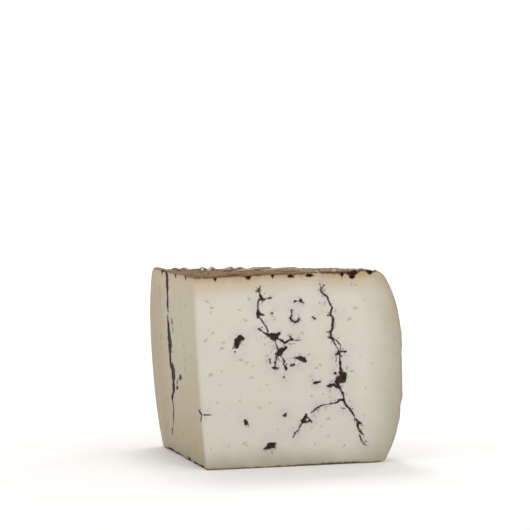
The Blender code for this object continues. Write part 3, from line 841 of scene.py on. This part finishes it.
def truffle_distance(x, z, routes, seed):
    """Distance in millimetres to the nearest edge of truffle, negative inside."""
    nearest, half = np.full_like(x, FAR), np.zeros_like(x)
    for route in routes:
        for (ax, az, a_half), (bx, bz, b_half) in zip(route, route[1:]):
            near = (x > min(ax, bx) - LEG_WINDOW) & (x < max(ax, bx) + LEG_WINDOW)
            near &= (z > min(az, bz) - LEG_WINDOW) & (z < max(az, bz) + LEG_WINDOW)
            u, v = x[near] - ax, z[near] - az
            length = (bx - ax) ** 2 + (bz - az) ** 2 + TINY
            part = np.clip((u * (bx - ax) + v * (bz - az)) / length, 0, 1)
            here = a_half + part * (b_half - a_half)
            gap = np.hypot(u - part * (bx - ax), v - part * (bz - az)) - here
            half[near] = np.where(gap < nearest[near], here, half[near])
            nearest[near] = np.minimum(nearest[near], gap)
    for layer, (size, least, more) in enumerate(FRAY):
        move = least + more * np.clip(half, 0, FRAY_THICK)
        nearest += move * waver(x / size + FRAY_SHIFT, z / size, seed + layer)
    return nearest


print("layers of fray:", len(FRAY))

# %% [markdown]
# Each cut is one sheet, worked out in its own flat plane and then laid onto the curved cut. Three
# lattices lie inside each other. The finest one follows truffle edges, the corner and the rims of
# openings, the next one surrounds those and fills eyes, and the widest one fills plain paste.

# %% Faces of the cuts
FINE_STEP = 0.3
FINE_TRUFFLE = 0.75   # how near to a truffle edge the finest lattice starts
FINE_CORNER = CORNER_ROUND + 0.1
FINE_HOLE = 0.45
MIDDLE_TRUFFLE = 1.7
MIDDLE_EYE = -0.4
MIDDLE_BORDER = 1.3
MIDDLE_HOLE = -0.8
CORNER_GAP = 0.18     # points inside stay this far from the corner between the cuts
TRUFFLE_SINK = 0.32
TRUFFLE_EDGE = 0.35   # width of the slope between paste and sunk truffle
CHUNK_SINK = 0.35     # more depth in the middle of a chunk
CHUNK_SPAN = (-0.5, -1.4)  # distances between which a chunk grows deeper
CHUNK_UNEVEN = (0.6, 0.4)
EYE_SINK = 0.6
EYE_WALL = 0.8        # power that makes an eye's floor flat
HOLE_SINK = 2.0
HOLE_EDGE = 0.7
CUT_SWELL = 0.045
CUT_TOOTH = 0.02
EDGE_FADE = 0.7       # all relief of a cut ends over this distance from its border
TOP_SMOOTHING = np.linspace(-7, 7, 11)  # the stain under the rind doesn't follow each notch
BAND_SIZE = (7.0, 90.0)
BAND_SEED = 7
DEEP_IN = 60          # largest distance from a border that the masks tell apart
TOP_ROWS = 30         # rows of the rim that are read with the top's border


def corner_along(axis, z):
    """Where the corner lies along the front cut, whose axis is 0, or the side cut, whose axis is 1."""
    return 0 * z + KNIFE_OFF_AXIS if axis else side_cut_x(KNIFE_OFF_AXIS, z)


def cut_outline(axis, foot, top):
    """Outline of a cut in its own plane and in space: along the foot, up the rim, back and down."""
    rim_line = rim[::-1, -axis]
    plane = np.concatenate([
        np.stack([foot[0], foot[1][:, 2]], 1), rim_line[:, [axis, 2]],
        np.stack([top[0], top[1][:, 2]], 1)[::-1],
        np.stack([corner_along(axis, corner_rows), corner_rows], 1)[::-1],
    ])
    return plane, np.concatenate([foot[1], rim_line, top[1][::-1], corner_places[::-1]])


def line_reader(along, across):
    """A function that reads a border between its points."""
    order = np.argsort(along)
    return lambda value: np.interp(value, along[order], across[order])


def border_readers(axis, foot, top):
    """Functions that give the top's height, the foot's height and the rim's place on a cut."""
    rim_along, rim_up = rim[:, -axis, axis], rim[:, -axis, 2]
    top_along = np.concatenate([top[0], rim_along[:TOP_ROWS]])
    top_up = np.concatenate([top[1][:, 2], rim_up[:TOP_ROWS]])
    return line_reader(top_along, top_up), line_reader(foot[0], foot[1][:, 2]), line_reader(rim_up, rim_along)


def cut_depth(x, z, distance, eye, hole):
    """How deep the paste, its eyes and openings and the truffle in it lie under the knife's plane."""
    steady, uneven = CHUNK_UNEVEN
    depth = TRUFFLE_SINK * smooth_step(-distance / TRUFFLE_EDGE)
    depth += CHUNK_SINK * ramp(distance, *CHUNK_SPAN) * (steady + uneven * field("chunk", x, z))
    depth += EYE_SINK * smooth_step(eye) ** EYE_WALL + HOLE_SINK * smooth_step(hole / HOLE_EDGE)
    return depth + CUT_SWELL * field("cut swell", x, z) + CUT_TOOTH * field("cut tooth", x, z)


def cut_face(axis, locate, foot, top, routes, eyes, holes, seed):
    """Points, triangles and masks of one knife cut."""
    outline, places = cut_outline(axis, foot, top)
    ceiling, floor, rim_side = border_readers(axis, foot, top)

    def gap_at(x, z):
        return np.minimum(np.minimum(ceiling(x) - z, z - floor(x)), rim_side(z) - x)

    column, row, inner = lattice(FINE_STEP, (outline[:, 0].min(), 0.0), outline.max(0))
    x, z = inner.T
    gap, from_corner = gap_at(x, z), x - corner_along(axis, z)
    keep = (gap > BORDER_GAP) & (from_corner > CORNER_GAP)
    column, row, inner, gap, from_corner = (item[keep] for item in (column, row, inner, gap, from_corner))
    x, z = inner.T
    distance, eye, hole = truffle_distance(x, z, routes, seed), eye_field(x, z, eyes), hole_field(x, z, holes)
    fine = (np.abs(distance) < FINE_TRUFFLE) | (from_corner < FINE_CORNER) | (np.abs(hole) < FINE_HOLE)
    middle = (distance < MIDDLE_TRUFFLE) | (eye > MIDDLE_EYE) & (eye != 0) | (gap < MIDDLE_BORDER)
    middle = (middle | (hole > MIDDLE_HOLE)) & (column % 2 == 0) & (row % 2 == 0)
    wide = (column % 4 == 0) & (row % 4 == 0)
    inner = inner[fine | middle | wide]
    x, z = np.concatenate([outline, inner]).T
    distance, hole, gap = truffle_distance(x, z, routes, seed), hole_field(x, z, holes), gap_at(x, z)
    eye = np.clip(eye_field(x, z, eyes), 0, 1)
    count = len(outline)
    depth = (cut_depth(x, z, distance, eye, hole) * smooth_step(gap / EDGE_FADE))[count:]
    surface = locate(x[count:], z[count:], depth)
    level_top = np.mean([ceiling(x + aside) for aside in TOP_SMOOTHING], axis=0)
    masks = {"gap": gap, "below_top": level_top - z, "above_foot": z - floor(x), "from_rim": rim_side(z) - x}
    masks = {name: np.clip(values, 0, DEEP_IN) for name, values in masks.items()}
    band_width, band_height = BAND_SIZE
    band = waver(x / band_width, z / band_height, seed + BAND_SEED)
    masks.update(truffle=distance, eye=eye, hole=np.clip(hole, 0, 1), level=z, band=band)
    return np.concatenate([places, surface]), triangulate(outline, inner), masks


front_face = cut_face(0, on_front, front_foot, front_top, front_routes, front_eyes, FRONT_HOLES, 101)
side_face = cut_face(1, on_side, side_foot, side_top, side_routes, side_eyes, SIDE_HOLES, 111)
print("front triangles:", len(front_face[1]), "side triangles:", len(side_face[1]))

# %% [markdown]
# Now the five sheets become one closed skin. Points that lie on top of each other are joined by
# rounding their places to a few thousandths of a millimetre. A point on a border keeps the masks
# of both sheets, so neither finish has a wrong rim.

# %% Join the sheets
WELD_CELL = 0.0037
MASKS = (
    "truffle", "eye", "hole", "gap", "below_top", "above_foot", "from_rim", "band", "side",
    "crest", "groove", "deep", "level",
)
TOP, RIM, FOOT, FRONT, SIDE = range(5)
CORNER_FADE = 6.0     # near the corner the side cut matches the front: its drier paste and painted shade fade out over this distance
TOP_MASKS = (WHEEL_HEIGHT - 6, WHEEL_HEIGHT - 1)  # heights over which the top's masks take over
HOLLOW_PUSH = (-0.02, -0.42)  # how far in the rim's hollows begin and are full
HOLLOW_SHADE = 0.42    # how much painted shade the hollows of the rim and of the foot hold


def rind_masks(places, top):
    """Masks that the rind's finish reads."""
    x, y, z = places.T
    _, crest, groove, deep = top_relief(x, y)
    if top:
        on_top = ramp(z, *TOP_MASKS)
        hollow = ramp(rim_push(np.arctan2(y, x), z), *HOLLOW_PUSH) * (np.hypot(x, y) > FLAT_RADIUS)
    else:
        on_top = 0 * z
        hollow = np.clip(z / FOOT_GROOVE, 0, 1)
    # Hollows of the rim and grooves under the foot are painted darker, as painted shade.
    groove = np.maximum(groove * on_top, HOLLOW_SHADE * hollow * (1 - on_top))
    return {"crest": crest * on_top, "groove": groove, "deep": deep * on_top, "level": z}


def rim_faces():
    """Two triangles for every cell of the rim grid."""
    rows, columns = rim.shape[:2]
    index = np.arange(rows * columns).reshape(rows, columns)
    a, b, c, d = index[:-1, :-1], index[:-1, 1:], index[1:, 1:], index[1:, :-1]
    return np.stack([a, b, c, a, c, d], -1).reshape(-1, 3)


def weld(sheets):
    """One list of points, one of triangles, their sheets, and masks merged over doubled points."""
    owners, places, faces, masks = zip(*sheets)
    offsets = np.cumsum([0] + [len(part) for part in places[:-1]])
    joined = np.concatenate([part + offset for part, offset in zip(faces, offsets)])
    owner = np.concatenate([np.full(len(part), name) for name, part in zip(owners, faces)])
    both = np.concatenate(places)
    keys = np.round(both / WELD_CELL).astype(np.int64)
    _, first, merged = np.unique(keys, axis=0, return_index=True, return_inverse=True)
    merged = merged.reshape(-1)
    welded = {}
    for name in MASKS:
        values = [given.get(name, np.full(len(part), np.nan)) for given, part in zip(masks, places)]
        held = np.full(len(first), np.nan)
        np.fmax.at(held, merged, np.concatenate(values))
        welded[name] = np.nan_to_num(held)
    return both[first], merged[joined], owner, welded


front_face[2]["side"] = np.zeros(len(front_face[0]))
side_face[2]["side"] = smooth_step((side_face[0][:, 1] - KNIFE_OFF_AXIS) / CORNER_FADE)
rim_places = rim.reshape(-1, 3)
block_places, block_faces, block_owner, block_masks = weld((
    (TOP, top_places, top_faces, rind_masks(top_places, True)),
    (RIM, rim_places, rim_faces(), rind_masks(rim_places, True)),
    (FOOT, foot_places, foot_faces, rind_masks(foot_places, False)),
    (FRONT, *front_face),
    (SIDE, *side_face),
))
print("points:", len(block_places), "triangles:", len(block_faces))

# %% [markdown]
# The block is set on the solid by the wheel's axis, which lies a known way in from the corner of
# the solid's box. Edges between rind and paste stay crisp, and everything else is shaded smooth.

# %% The block as a Blender mesh
AXIS_INWARD = 3.377   # the leaning side cut reaches this far past the axis
solid_low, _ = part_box("cheese_wedge")
wheel_axis = np.array([solid_low.x / MM + AXIS_INWARD, solid_low.y / MM - KNIFE_OFF_AXIS, 0.0])
print("wheel axis in mm:", wheel_axis.round(3))


def make_block():
    """The closed skin with its masks as point attributes."""
    mesh = bpy.data.meshes.new("cheese_block")
    mesh.from_pydata(((block_places + wheel_axis) * MM).tolist(), [], block_faces.tolist())
    for name, values in block_masks.items():
        layer = mesh.attributes.new(name, "FLOAT", "POINT")
        layer.data.foreach_set("value", values.astype(np.float32))
    mesh.polygons.foreach_set("material_index", (block_owner >= FRONT).astype(np.int32))
    shape = bmesh.new()
    shape.from_mesh(mesh)
    bmesh.ops.recalc_face_normals(shape, faces=shape.faces)
    for edge in shape.edges:
        faces = edge.link_faces
        edge.smooth = len(faces) == 2 and faces[0].material_index == faces[1].material_index
    open_edges = sum(1 for edge in shape.edges if len(edge.link_faces) != 2)
    shape.to_mesh(mesh)
    shape.free()
    mesh.polygons.foreach_set("use_smooth", [True] * len(mesh.polygons))
    block = bpy.data.objects.new("cheese_block", mesh)
    bpy.context.scene.collection.objects.link(block)
    print("edges that don't join two faces:", open_edges)
    return block


block = make_block()

# %% [markdown]
# Finishes. A few helpers keep the node trees short. Two feed sockets with values or links, most
# others add a node and give back its output, and one lays coats of colour over each other.

# %% Node helpers
def feed(tree, socket, item):
    """Set a socket to a value, or link an output to it."""
    if isinstance(item, bpy.types.NodeSocket):
        tree.links.new(item, socket)
    else:
        socket.default_value = item


def fill(tree, node, **values):
    """Feed sockets of a node by name, with _ for each blank, and give back its outputs."""
    for label, item in values.items():
        feed(tree, node.inputs[label.replace("_", " ")], item)
    return node.outputs


def calc(tree, operation, *items):
    node = tree.nodes.new("ShaderNodeMath")
    node.operation = operation
    for socket, item in zip(node.inputs, items):
        feed(tree, socket, item)
    return node.outputs[0]


def plus(tree, first, second):
    return calc(tree, "ADD", first, second)


def minus(tree, first, second):
    return calc(tree, "SUBTRACT", first, second)


def times(tree, first, second):
    return calc(tree, "MULTIPLY", first, second)


def spread(tree, value, low, high, to_low=0.0, to_high=1.0):
    """Carry a range of values smoothly over to another range."""
    node = tree.nodes.new("ShaderNodeMapRange")
    node.interpolation_type = "SMOOTHSTEP"
    for socket, item in zip(node.inputs, (value, low, high, to_low, to_high)):
        feed(tree, socket, item)
    return node.outputs[0]


def mask(tree, name):
    """Read one of the block's point attributes."""
    node = tree.nodes.new("ShaderNodeAttribute")
    node.attribute_name = name
    return node.outputs["Fac"]


def noise(tree, places, scale, detail=2.0, roughness=0.5):
    node = tree.nodes.new("ShaderNodeTexNoise")
    return fill(tree, node, Vector=places, Scale=scale, Detail=detail, Roughness=roughness)["Fac"]


def drift(tree, places, scale, reach, detail=3.0):
    """Noise about zero, as wide as the reach."""
    return times(tree, minus(tree, noise(tree, places, scale, detail), 0.5), reach)


def shade(red, green, blue):
    """A colour given as screen values from 0 to 255, in the linear form that shaders use."""
    screen = [value / 255 for value in (red, green, blue)]
    return (*[s / 12.92 if s < 0.04045 else ((s + 0.055) / 1.055) ** 2.4 for s in screen], 1.0)


def tint(tree, amount, first, second):
    """Mix two colours."""
    node = tree.nodes.new("ShaderNodeMix")
    node.data_type = "RGBA"
    for number, item in zip((0, 6, 7), (amount, first, second)):
        feed(tree, node.inputs[number], item)
    return node.outputs[2]


def lay(tree, colour, *coats):
    """Lay coats over a colour. Each has an amount, and a link or the screen values of its colour."""
    for amount, coat in coats:
        colour = tint(tree, amount, colour, shade(*coat) if isinstance(coat, tuple) else coat)
    return colour


def bump(tree, height, strength, distance):
    """A bent normal from a height. The distance is in millimetres."""
    node = tree.nodes.new("ShaderNodeBump")
    return fill(tree, node, Strength=strength, Distance=distance * MM, Height=height)["Normal"]


def new_group(name, inputs, outputs):
    """An empty node group with named sockets."""
    group = bpy.data.node_groups.new(name, "ShaderNodeTree")
    for side, sockets in (("INPUT", inputs), ("OUTPUT", outputs)):
        for label, kind in sockets.items():
            group.interface.new_socket(label, in_out=side, socket_type="NodeSocket" + kind)
    return group, group.nodes.new("NodeGroupInput").outputs, group.nodes.new("NodeGroupOutput").inputs


def place_group(tree, group, **values):
    node = tree.nodes.new("ShaderNodeGroup")
    node.node_tree = group
    return fill(tree, node, **values)


def new_material(name):
    """A material with its shader, and the object's own coordinates."""
    material = bpy.data.materials.new(name)
    material.use_nodes = True
    tree = material.node_tree
    places = tree.nodes.new("ShaderNodeTexCoord").outputs["Object"]
    return material, tree, tree.nodes["Principled BSDF"], places


print("node helpers ready")

# %% [markdown]
# Cheese is never one colour. The mottle group drifts between two colours in soft patches, and a
# finer layer breaks the patches up. The grain group is a height for a Bump node: a coarse swell
# and a fine tooth. Rind, paste and floor all use them, each with its own sizes.

# %% Shared groups
FINE_MOTTLE = 5.3     # the finer layer of the mottle, as a multiple of its scale
MOTTLE_SHARES = (0.7, 0.3)
MOTTLE_WIDTH = 0.12   # half the range of noise over which one colour gives way to the other
GRAIN_TOOTH = 6.0     # the tooth of the grain, as a multiple of its scale


def make_mottle_group():
    group, given, out = new_group(
        "mottle",
        {"Places": "Vector", "Scale": "Float", "Contrast": "Float", "Ground": "Color", "Patch": "Color"},
        {"Color": "Color", "Mask": "Float"},
    )
    broad_share, fine_share = MOTTLE_SHARES
    broad = noise(group, given["Places"], given["Scale"], 3.0)
    fine = noise(group, given["Places"], times(group, given["Scale"], FINE_MOTTLE), 2.0)
    both = plus(group, times(group, broad, broad_share), times(group, fine, fine_share))
    half = calc(group, "DIVIDE", MOTTLE_WIDTH, given["Contrast"])
    amount = spread(group, both, minus(group, 0.5, half), plus(group, 0.5, half))
    feed(group, out["Color"], tint(group, amount, given["Ground"], given["Patch"]))
    feed(group, out["Mask"], amount)
    return group


def make_grain_group():
    group, given, out = new_group(
        "grain", {"Places": "Vector", "Scale": "Float", "Tooth": "Float"}, {"Height": "Float"})
    swell = noise(group, given["Places"], given["Scale"], 2.0)
    tooth = noise(group, given["Places"], times(group, given["Scale"], GRAIN_TOOTH), 3.0, 0.65)
    feed(group, out["Height"], plus(group, swell, times(group, minus(group, tooth, 0.5), given["Tooth"])))
    return group


def mottle(tree, places, scale, contrast, ground, patch):
    """The two outputs of the mottle group, for screen values of its two colours."""
    return place_group(tree, mottle_group, Places=places, Scale=scale, Contrast=contrast,
                       Ground=shade(*ground), Patch=shade(*patch))


def grain(tree, places, scale, tooth):
    return place_group(tree, grain_group, Places=places, Scale=scale, Tooth=tooth)["Height"]


mottle_group = make_mottle_group()
grain_group = make_grain_group()
print("groups:", mottle_group.name, grain_group.name)

# %% [markdown]
# The rind is oiled while the cheese ripens. Its ground is a golden, olive brown, with purplish-grey
# patches that are partly mould and partly painted sheen. Grooves, hollows and holes are painted dark
# as painted shade, among the rind's own dark streaks, the backs of the ridges are painted a lighter
# purplish grey, partly wear and partly painted sheen, and they shine, and the rim is greener than the top.

# %% Rind
BLACK = (0, 0, 0)
WHITE = (255, 255, 255)
RIM_BAND = (WHEEL_HEIGHT - 16, WHEEL_HEIGHT - 2)  # between these heights the top's colours begin


def make_rind():
    material, tree, shader, places = new_material("pecorino_rind")
    golden = mottle(tree, places, 95.0, 1.0, (137, 114, 72), (114, 92, 62))["Color"]
    # Purplish-grey patches: partly mould, partly painted sheen.
    mauve = mottle(tree, places, 48.0, 1.1, BLACK, WHITE)["Mask"]
    olive = mottle(tree, places, 120.0, 0.7, (117, 106, 56), (98, 88, 46))["Color"]
    worn_and_sheen = mottle(tree, places, 230.0, 0.8, (131, 111, 99), (112, 91, 73))["Color"]
    bronze = spread(tree, noise(tree, places, 34.0, 3.0, 0.6), 0.4, 0.68, 0.0, 0.6)
    level = plus(tree, mask(tree, "level"), drift(tree, places, 70.0, 16.0))
    down = spread(tree, level, *RIM_BAND, 1.0, 0.0)
    crest, deep = mask(tree, "crest"), spread(tree, mask(tree, "deep"), 0.12, 0.5)
    speck = spread(tree, noise(tree, places, 520.0, 3.0, 0.6), 0.56, 0.72, 0.0, 0.55)
    # Painted shade in grooves, dips, wrinkle hollows and the rim's hollows, with the rind's own dark streaks.
    groove_shade = times(tree, spread(tree, mask(tree, "groove"), 0.08, 0.7, 0.0, 0.9),
                 spread(tree, noise(tree, places, 260.0), 0.3, 0.6, 0.5, 1.0))
    colour = lay(
        tree, golden,
        (times(tree, mauve, 0.5), (117, 97, 87)),
        (down, lay(tree, olive, (bronze, (124, 101, 60)))),
        # Lighter purplish grey on the ridges' backs: partly wear, partly painted sheen.
        (spread(tree, crest, 0.25, 0.9, 0.0, 0.5), worn_and_sheen),
        (speck, (84, 66, 46)),
        (groove_shade, (60, 44, 34)),
        # holes and pits painted near black: painted shade inside them
        (deep, (46, 31, 22)),
    )
    rough = plus(tree, spread(tree, crest, 0.2, 0.9, 0.55, 0.3), times(tree, noise(tree, places, 600.0), 0.1))
    bare = minus(tree, 1.0, calc(tree, "MAXIMUM", deep, down))
    fill(tree, shader, Base_Color=colour, Roughness=plus(tree, rough, times(tree, deep, 0.4)),
         Coat_Weight=times(tree, spread(tree, crest, 0.3, 0.8, 0.0, 0.8), bare), Coat_Roughness=0.13,
         Specular_IOR_Level=0.02, Normal=bump(tree, grain(tree, places, 300.0, 0.8), 0.8, 0.4))
    return material


rind_material = make_rind()
print("finish:", rind_material.name)

# %% [markdown]
# The paste is cream with a faint grey cast, and it darkens towards the rind: beige under the top,
# yellow and olive towards the rim, and darker over the foot; towards the rim and the foot the darkening
# is partly painted shade. The side cut is darker and yellower, partly drier paste and partly painted
# shade. Light enters a little way, so the shader has some subsurface.
# Truffle is part of the same finish. It starts where the distance mask falls under zero, and a
# lilac stain surrounds it, because its juice seeps into the curd. Each coat below is laid over
# the ones before it.

# %% Paste and truffle
def side_paste_drier_and_shaded(tree, places):
    """The side cut's paste, darker and yellower than the front: partly drier paste, partly painted shade and
    warm bounce light, more so towards the foot and the rim.
    """
    return lay(
        tree, mottle(tree, places, 45.0, 0.4, (170, 156, 129), (173, 163, 138))["Color"],
        (spread(tree, mask(tree, "band"), -0.6, 0.7, 0.0, 0.45), (168, 164, 141)),
        (spread(tree, mask(tree, "level"), 5.0, 75.0, 0.62, 0.0), (153, 133, 99)),
        (spread(tree, mask(tree, "from_rim"), 8.0, 60.0, 0.9, 0.0), (152, 132, 99)),
    )


def near_rind(tree, places, colour):
    """Darken the paste towards the rind, partly its own colour there and partly painted shade towards the rim
    and the foot, and end it in a dark line of crust.
    """
    gap, from_rim, below_top = mask(tree, "gap"), mask(tree, "from_rim"), mask(tree, "below_top")
    uneven = drift(tree, places, 45.0, 13.0)
    fray = drift(tree, places, 260.0, 4.0)
    inside = spread(tree, from_rim, 0.0, 12.0, 0.3, 1.0)
    broad = spread(tree, plus(tree, below_top, uneven), -2.0, 15.0, 0.8, 0.0)
    narrow = spread(tree, plus(tree, below_top, fray), 0.0, 5.0, 0.6, 0.0)
    line = spread(tree, plus(tree, gap, times(tree, fray, 0.35)), 0.1, 1.25, 1.0, 0.0)
    return lay(
        tree, colour,
        # Darker towards the rim and the foot: partly the paste's own colour under the rind, partly painted
        # shade.
        (spread(tree, plus(tree, from_rim, uneven), -3.0, 24.0, 0.85, 0.0), (154, 144, 123)),
        (spread(tree, plus(tree, mask(tree, "above_foot"), uneven), -2.0, 14.0, 0.85, 0.0), (152, 144, 121)),
        (times(tree, inside, broad), (181, 157, 122)),
        (times(tree, inside, narrow), (158, 134, 106)),
        (spread(tree, plus(tree, gap, fray), -0.4, 2.4, 0.45, 0.0), (150, 134, 108)),
        (times(tree, line, spread(tree, from_rim, 0.5, 3.0, 0.1, 1.0)), (78, 52, 32)),
    )


def truffle(tree, places, colour):
    """Lay truffle with its stain and smudges over the paste. Also gives how dark each point is."""
    distance = mask(tree, "truffle")
    frayed = plus(tree, distance, drift(tree, places, 1500.0, 0.4, 2.0))
    stain = times(tree, spread(tree, frayed, 0.0, 7.5, 0.32, 0.0),
                  spread(tree, noise(tree, places, 110.0), 0.35, 0.65, 0.2, 1.0))
    smudge = times(tree, spread(tree, frayed, 0.1, 2.6, 0.5, 0.0),
                   spread(tree, noise(tree, places, 380.0), 0.54, 0.68))
    dark = spread(tree, frayed, -0.32, 0.34, 1.0, 0.0)
    flesh = mottle(tree, places, 520.0, 1.2, (14, 5, 4), (46, 26, 18))["Color"]
    flesh = lay(tree, flesh, (spread(tree, distance, -0.7, -0.1, 0.0, 0.9), (78, 61, 60)))
    return lay(tree, colour, (stain, (176, 163, 172)), (smudge, (118, 104, 110)), (dark, flesh)), dark


def make_paste():
    material, tree, shader, places = new_material("pecorino_paste")
    eye = mask(tree, "eye")
    colour = mottle(tree, places, 75.0, 0.5, (201, 193, 185), (194, 193, 179))["Color"]
    # The side cut gets its darker, yellower paste: partly drier, partly painted shade.
    colour = lay(tree, colour, (times(tree, mask(tree, "side"), 0.95), side_paste_drier_and_shaded(tree, places)))
    colour = near_rind(tree, places, colour)
    # Eyes painted darker: painted shade in their shallow pits.
    colour = lay(tree, colour, (spread(tree, eye, 0.0, 0.7, 0.0, 0.5), (132, 126, 102)),
                 # Torn openings and foot chips painted near black: painted shade inside them, and along the
                 # foot painted shadow under its edge.
                 (spread(tree, mask(tree, "hole"), 0.0, 0.3), (46, 25, 14)))
    colour, dark = truffle(tree, places, colour)
    flesh = times(tree, noise(tree, places, 1300.0, 3.0), times(tree, dark, 3.0))
    height = plus(tree, grain(tree, places, 170.0, 0.5), flesh)
    fill(tree, shader, Base_Color=colour,
         Roughness=plus(tree, spread(tree, dark, 0.0, 1.0, 0.45, 0.65), times(tree, eye, 0.1)),
         Specular_IOR_Level=0.25, Subsurface_Weight=0.12, Subsurface_Radius=(1.0, 0.75, 0.45),
         Subsurface_Scale=2.0 * MM, Normal=bump(tree, height, 0.35, 0.2))
    return material


paste_material = make_paste()
block.data.materials.append(rind_material)
block.data.materials.append(paste_material)
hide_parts("cheese_wedge")
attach(block, "root" if "root" in frame["bodies"] else next(iter(frame["bodies"])))
print("finish:", paste_material.name)

# %% [markdown]
# The block stands on a plain pale sweep: a floor that curves up into a wall all round, so every
# view has the same quiet background. The wall glows a little, as a lit studio wall does, because
# the sky alone leaves it grey.

# %% Sweep
SWEEP_FLOOR = 0.8
SWEEP_RINGS = 4       # the flat floor is made of this many rings
SWEEP_BEND = 0.8
BEND_STEPS = 12
SWEEP_WALL = 1.9
SWEEP_SIDES = 96
SWEEP_GLOW = 0.3      # light that the wall gives off
SWEEP_GLOW_SPAN = (0.35, 1.1)
GLOW_COLOUR = (1, 1, 0.99, 1)


def sweep_mesh():
    """A bowl turned from a quarter round profile."""
    profile = [(SWEEP_FLOOR * part / SWEEP_RINGS, 0.0) for part in range(SWEEP_RINGS)]
    for step in range(BEND_STEPS + 1):
        turn = step / BEND_STEPS * math.pi / 2
        profile.append((SWEEP_FLOOR + SWEEP_BEND * math.sin(turn), SWEEP_BEND * (1 - math.cos(turn))))
    profile.append((SWEEP_FLOOR + SWEEP_BEND, SWEEP_WALL))
    mesh = bpy.data.meshes.new("sweep")
    shape = bmesh.new()
    points = [shape.verts.new((radius, 0, height)) for radius, height in profile]
    edges = [shape.edges.new(pair) for pair in zip(points, points[1:])]
    bmesh.ops.spin(shape, geom=points + edges, cent=(0, 0, 0), axis=(0, 0, 1), angle=math.tau,
                   steps=SWEEP_SIDES, use_merge=True)
    bmesh.ops.remove_doubles(shape, verts=shape.verts, dist=1e-5)
    bmesh.ops.recalc_face_normals(shape, faces=shape.faces)
    for face in shape.faces:
        face.smooth = True
    shape.to_mesh(mesh)
    shape.free()
    return mesh


def make_sweep():
    """The bowl with its paper finish and its glow."""
    mesh = sweep_mesh()
    sweep = bpy.data.objects.new("sweep", mesh)
    bpy.context.scene.collection.objects.link(sweep)
    material, tree, shader, places = new_material("sweep")
    away = tree.nodes.new("ShaderNodeVectorMath")
    away.operation = "LENGTH"
    feed(tree, away.inputs[0], places)
    glow = tint(tree, spread(tree, away.outputs["Value"], *SWEEP_GLOW_SPAN), (0, 0, 0, 1), GLOW_COLOUR)
    paper = mottle(tree, places, 3.0, 0.3, (244, 244, 243), (242, 242, 240))["Color"]
    fill(tree, shader, Base_Color=paper, Roughness=0.9, Emission_Color=glow, Emission_Strength=SWEEP_GLOW)
    mesh.materials.append(material)
    return sweep


sweep = make_sweep()
print("sweep faces:", len(sweep.data.polygons))

# %% [markdown]
# Soft studio light: a large panel in front and to the right lights the front cut, a smaller one
# above and behind lights the rind, and two very small ones at the left and at the right draw glints
# on its ridges. An even pale sky fills the rest, so the side cut is darker but open.

# %% Light
LIGHT_AIM = (0.0, 0.0, 0.05)
LIGHTS = (  # name, place, size, power, colour
    ("key", (0.35, -0.95, 0.65), 0.5, 2.45, (1.0, 0.99, 0.98)),
    ("top", (0.05, 0.45, 0.95), 0.35, 3.4, (1.0, 0.99, 0.99)),
    ("left glint", (-0.75, -0.25, 0.75), 0.1, 0.5, (1.0, 0.99, 1.0)),
    ("right glint", (0.6, 0.45, 0.8), 0.1, 0.5, (1.0, 0.99, 1.0)),
)
SKY_COLOUR = (1.0, 0.995, 0.985, 1.0)
SKY_STRENGTH = 0.42


def make_panel(name, place, size, power, colour):
    lamp = bpy.data.lights.new(name, "AREA")
    lamp.shape = "SQUARE"
    lamp.size = size
    lamp.energy = power
    lamp.color = colour
    panel = bpy.data.objects.new(name, lamp)
    panel.location = place
    panel.rotation_euler = (Vector(LIGHT_AIM) - Vector(place)).to_track_quat("-Z", "Y").to_euler()
    bpy.context.scene.collection.objects.link(panel)
    panel.visible_camera = False


for light in LIGHTS:
    make_panel(*light)

world = bpy.context.scene.world or bpy.data.worlds.new("studio")
bpy.context.scene.world = world
world.use_nodes = True
sky = world.node_tree.nodes["Background"]
fill(world.node_tree, sky, Color=SKY_COLOUR, Strength=SKY_STRENGTH)
bpy.context.scene.view_settings.view_transform = "Standard"

# %% [markdown]
# The camera stands where the photographer stood, a little left of the front cut and just above
# the height of the cheese, with a long lens. The place is measured from the wheel's axis.

# %% Camera
CAMERA_PLACE = (-227.6, -884.0, 132.3)
CAMERA_TURN = math.radians(16.6)    # to the right of the front cut's own direction
CAMERA_DIP = math.radians(1.36)
CAMERA_ROLL = math.radians(-0.27)
CAMERA_LENS = 115.5
CAMERA_SENSOR = 36.0


def make_camera():
    camera = bpy.data.objects.new("camera", bpy.data.cameras.new("camera"))
    camera.data.lens = CAMERA_LENS
    camera.data.sensor_width = CAMERA_SENSOR
    camera.location = [(start + offset) * MM for start, offset in zip(wheel_axis, CAMERA_PLACE)]
    level = Matrix.Rotation(-CAMERA_TURN, 4, "Z") @ Matrix.Rotation(math.pi / 2 - CAMERA_DIP, 4, "X")
    camera.matrix_world = Matrix.Translation(camera.location) @ level @ Matrix.Rotation(CAMERA_ROLL, 4, "Z")
    bpy.context.scene.collection.objects.link(camera)
    bpy.context.scene.camera = camera
    return camera


camera = make_camera()
print("camera at", [round(value, 3) for value in camera.location])
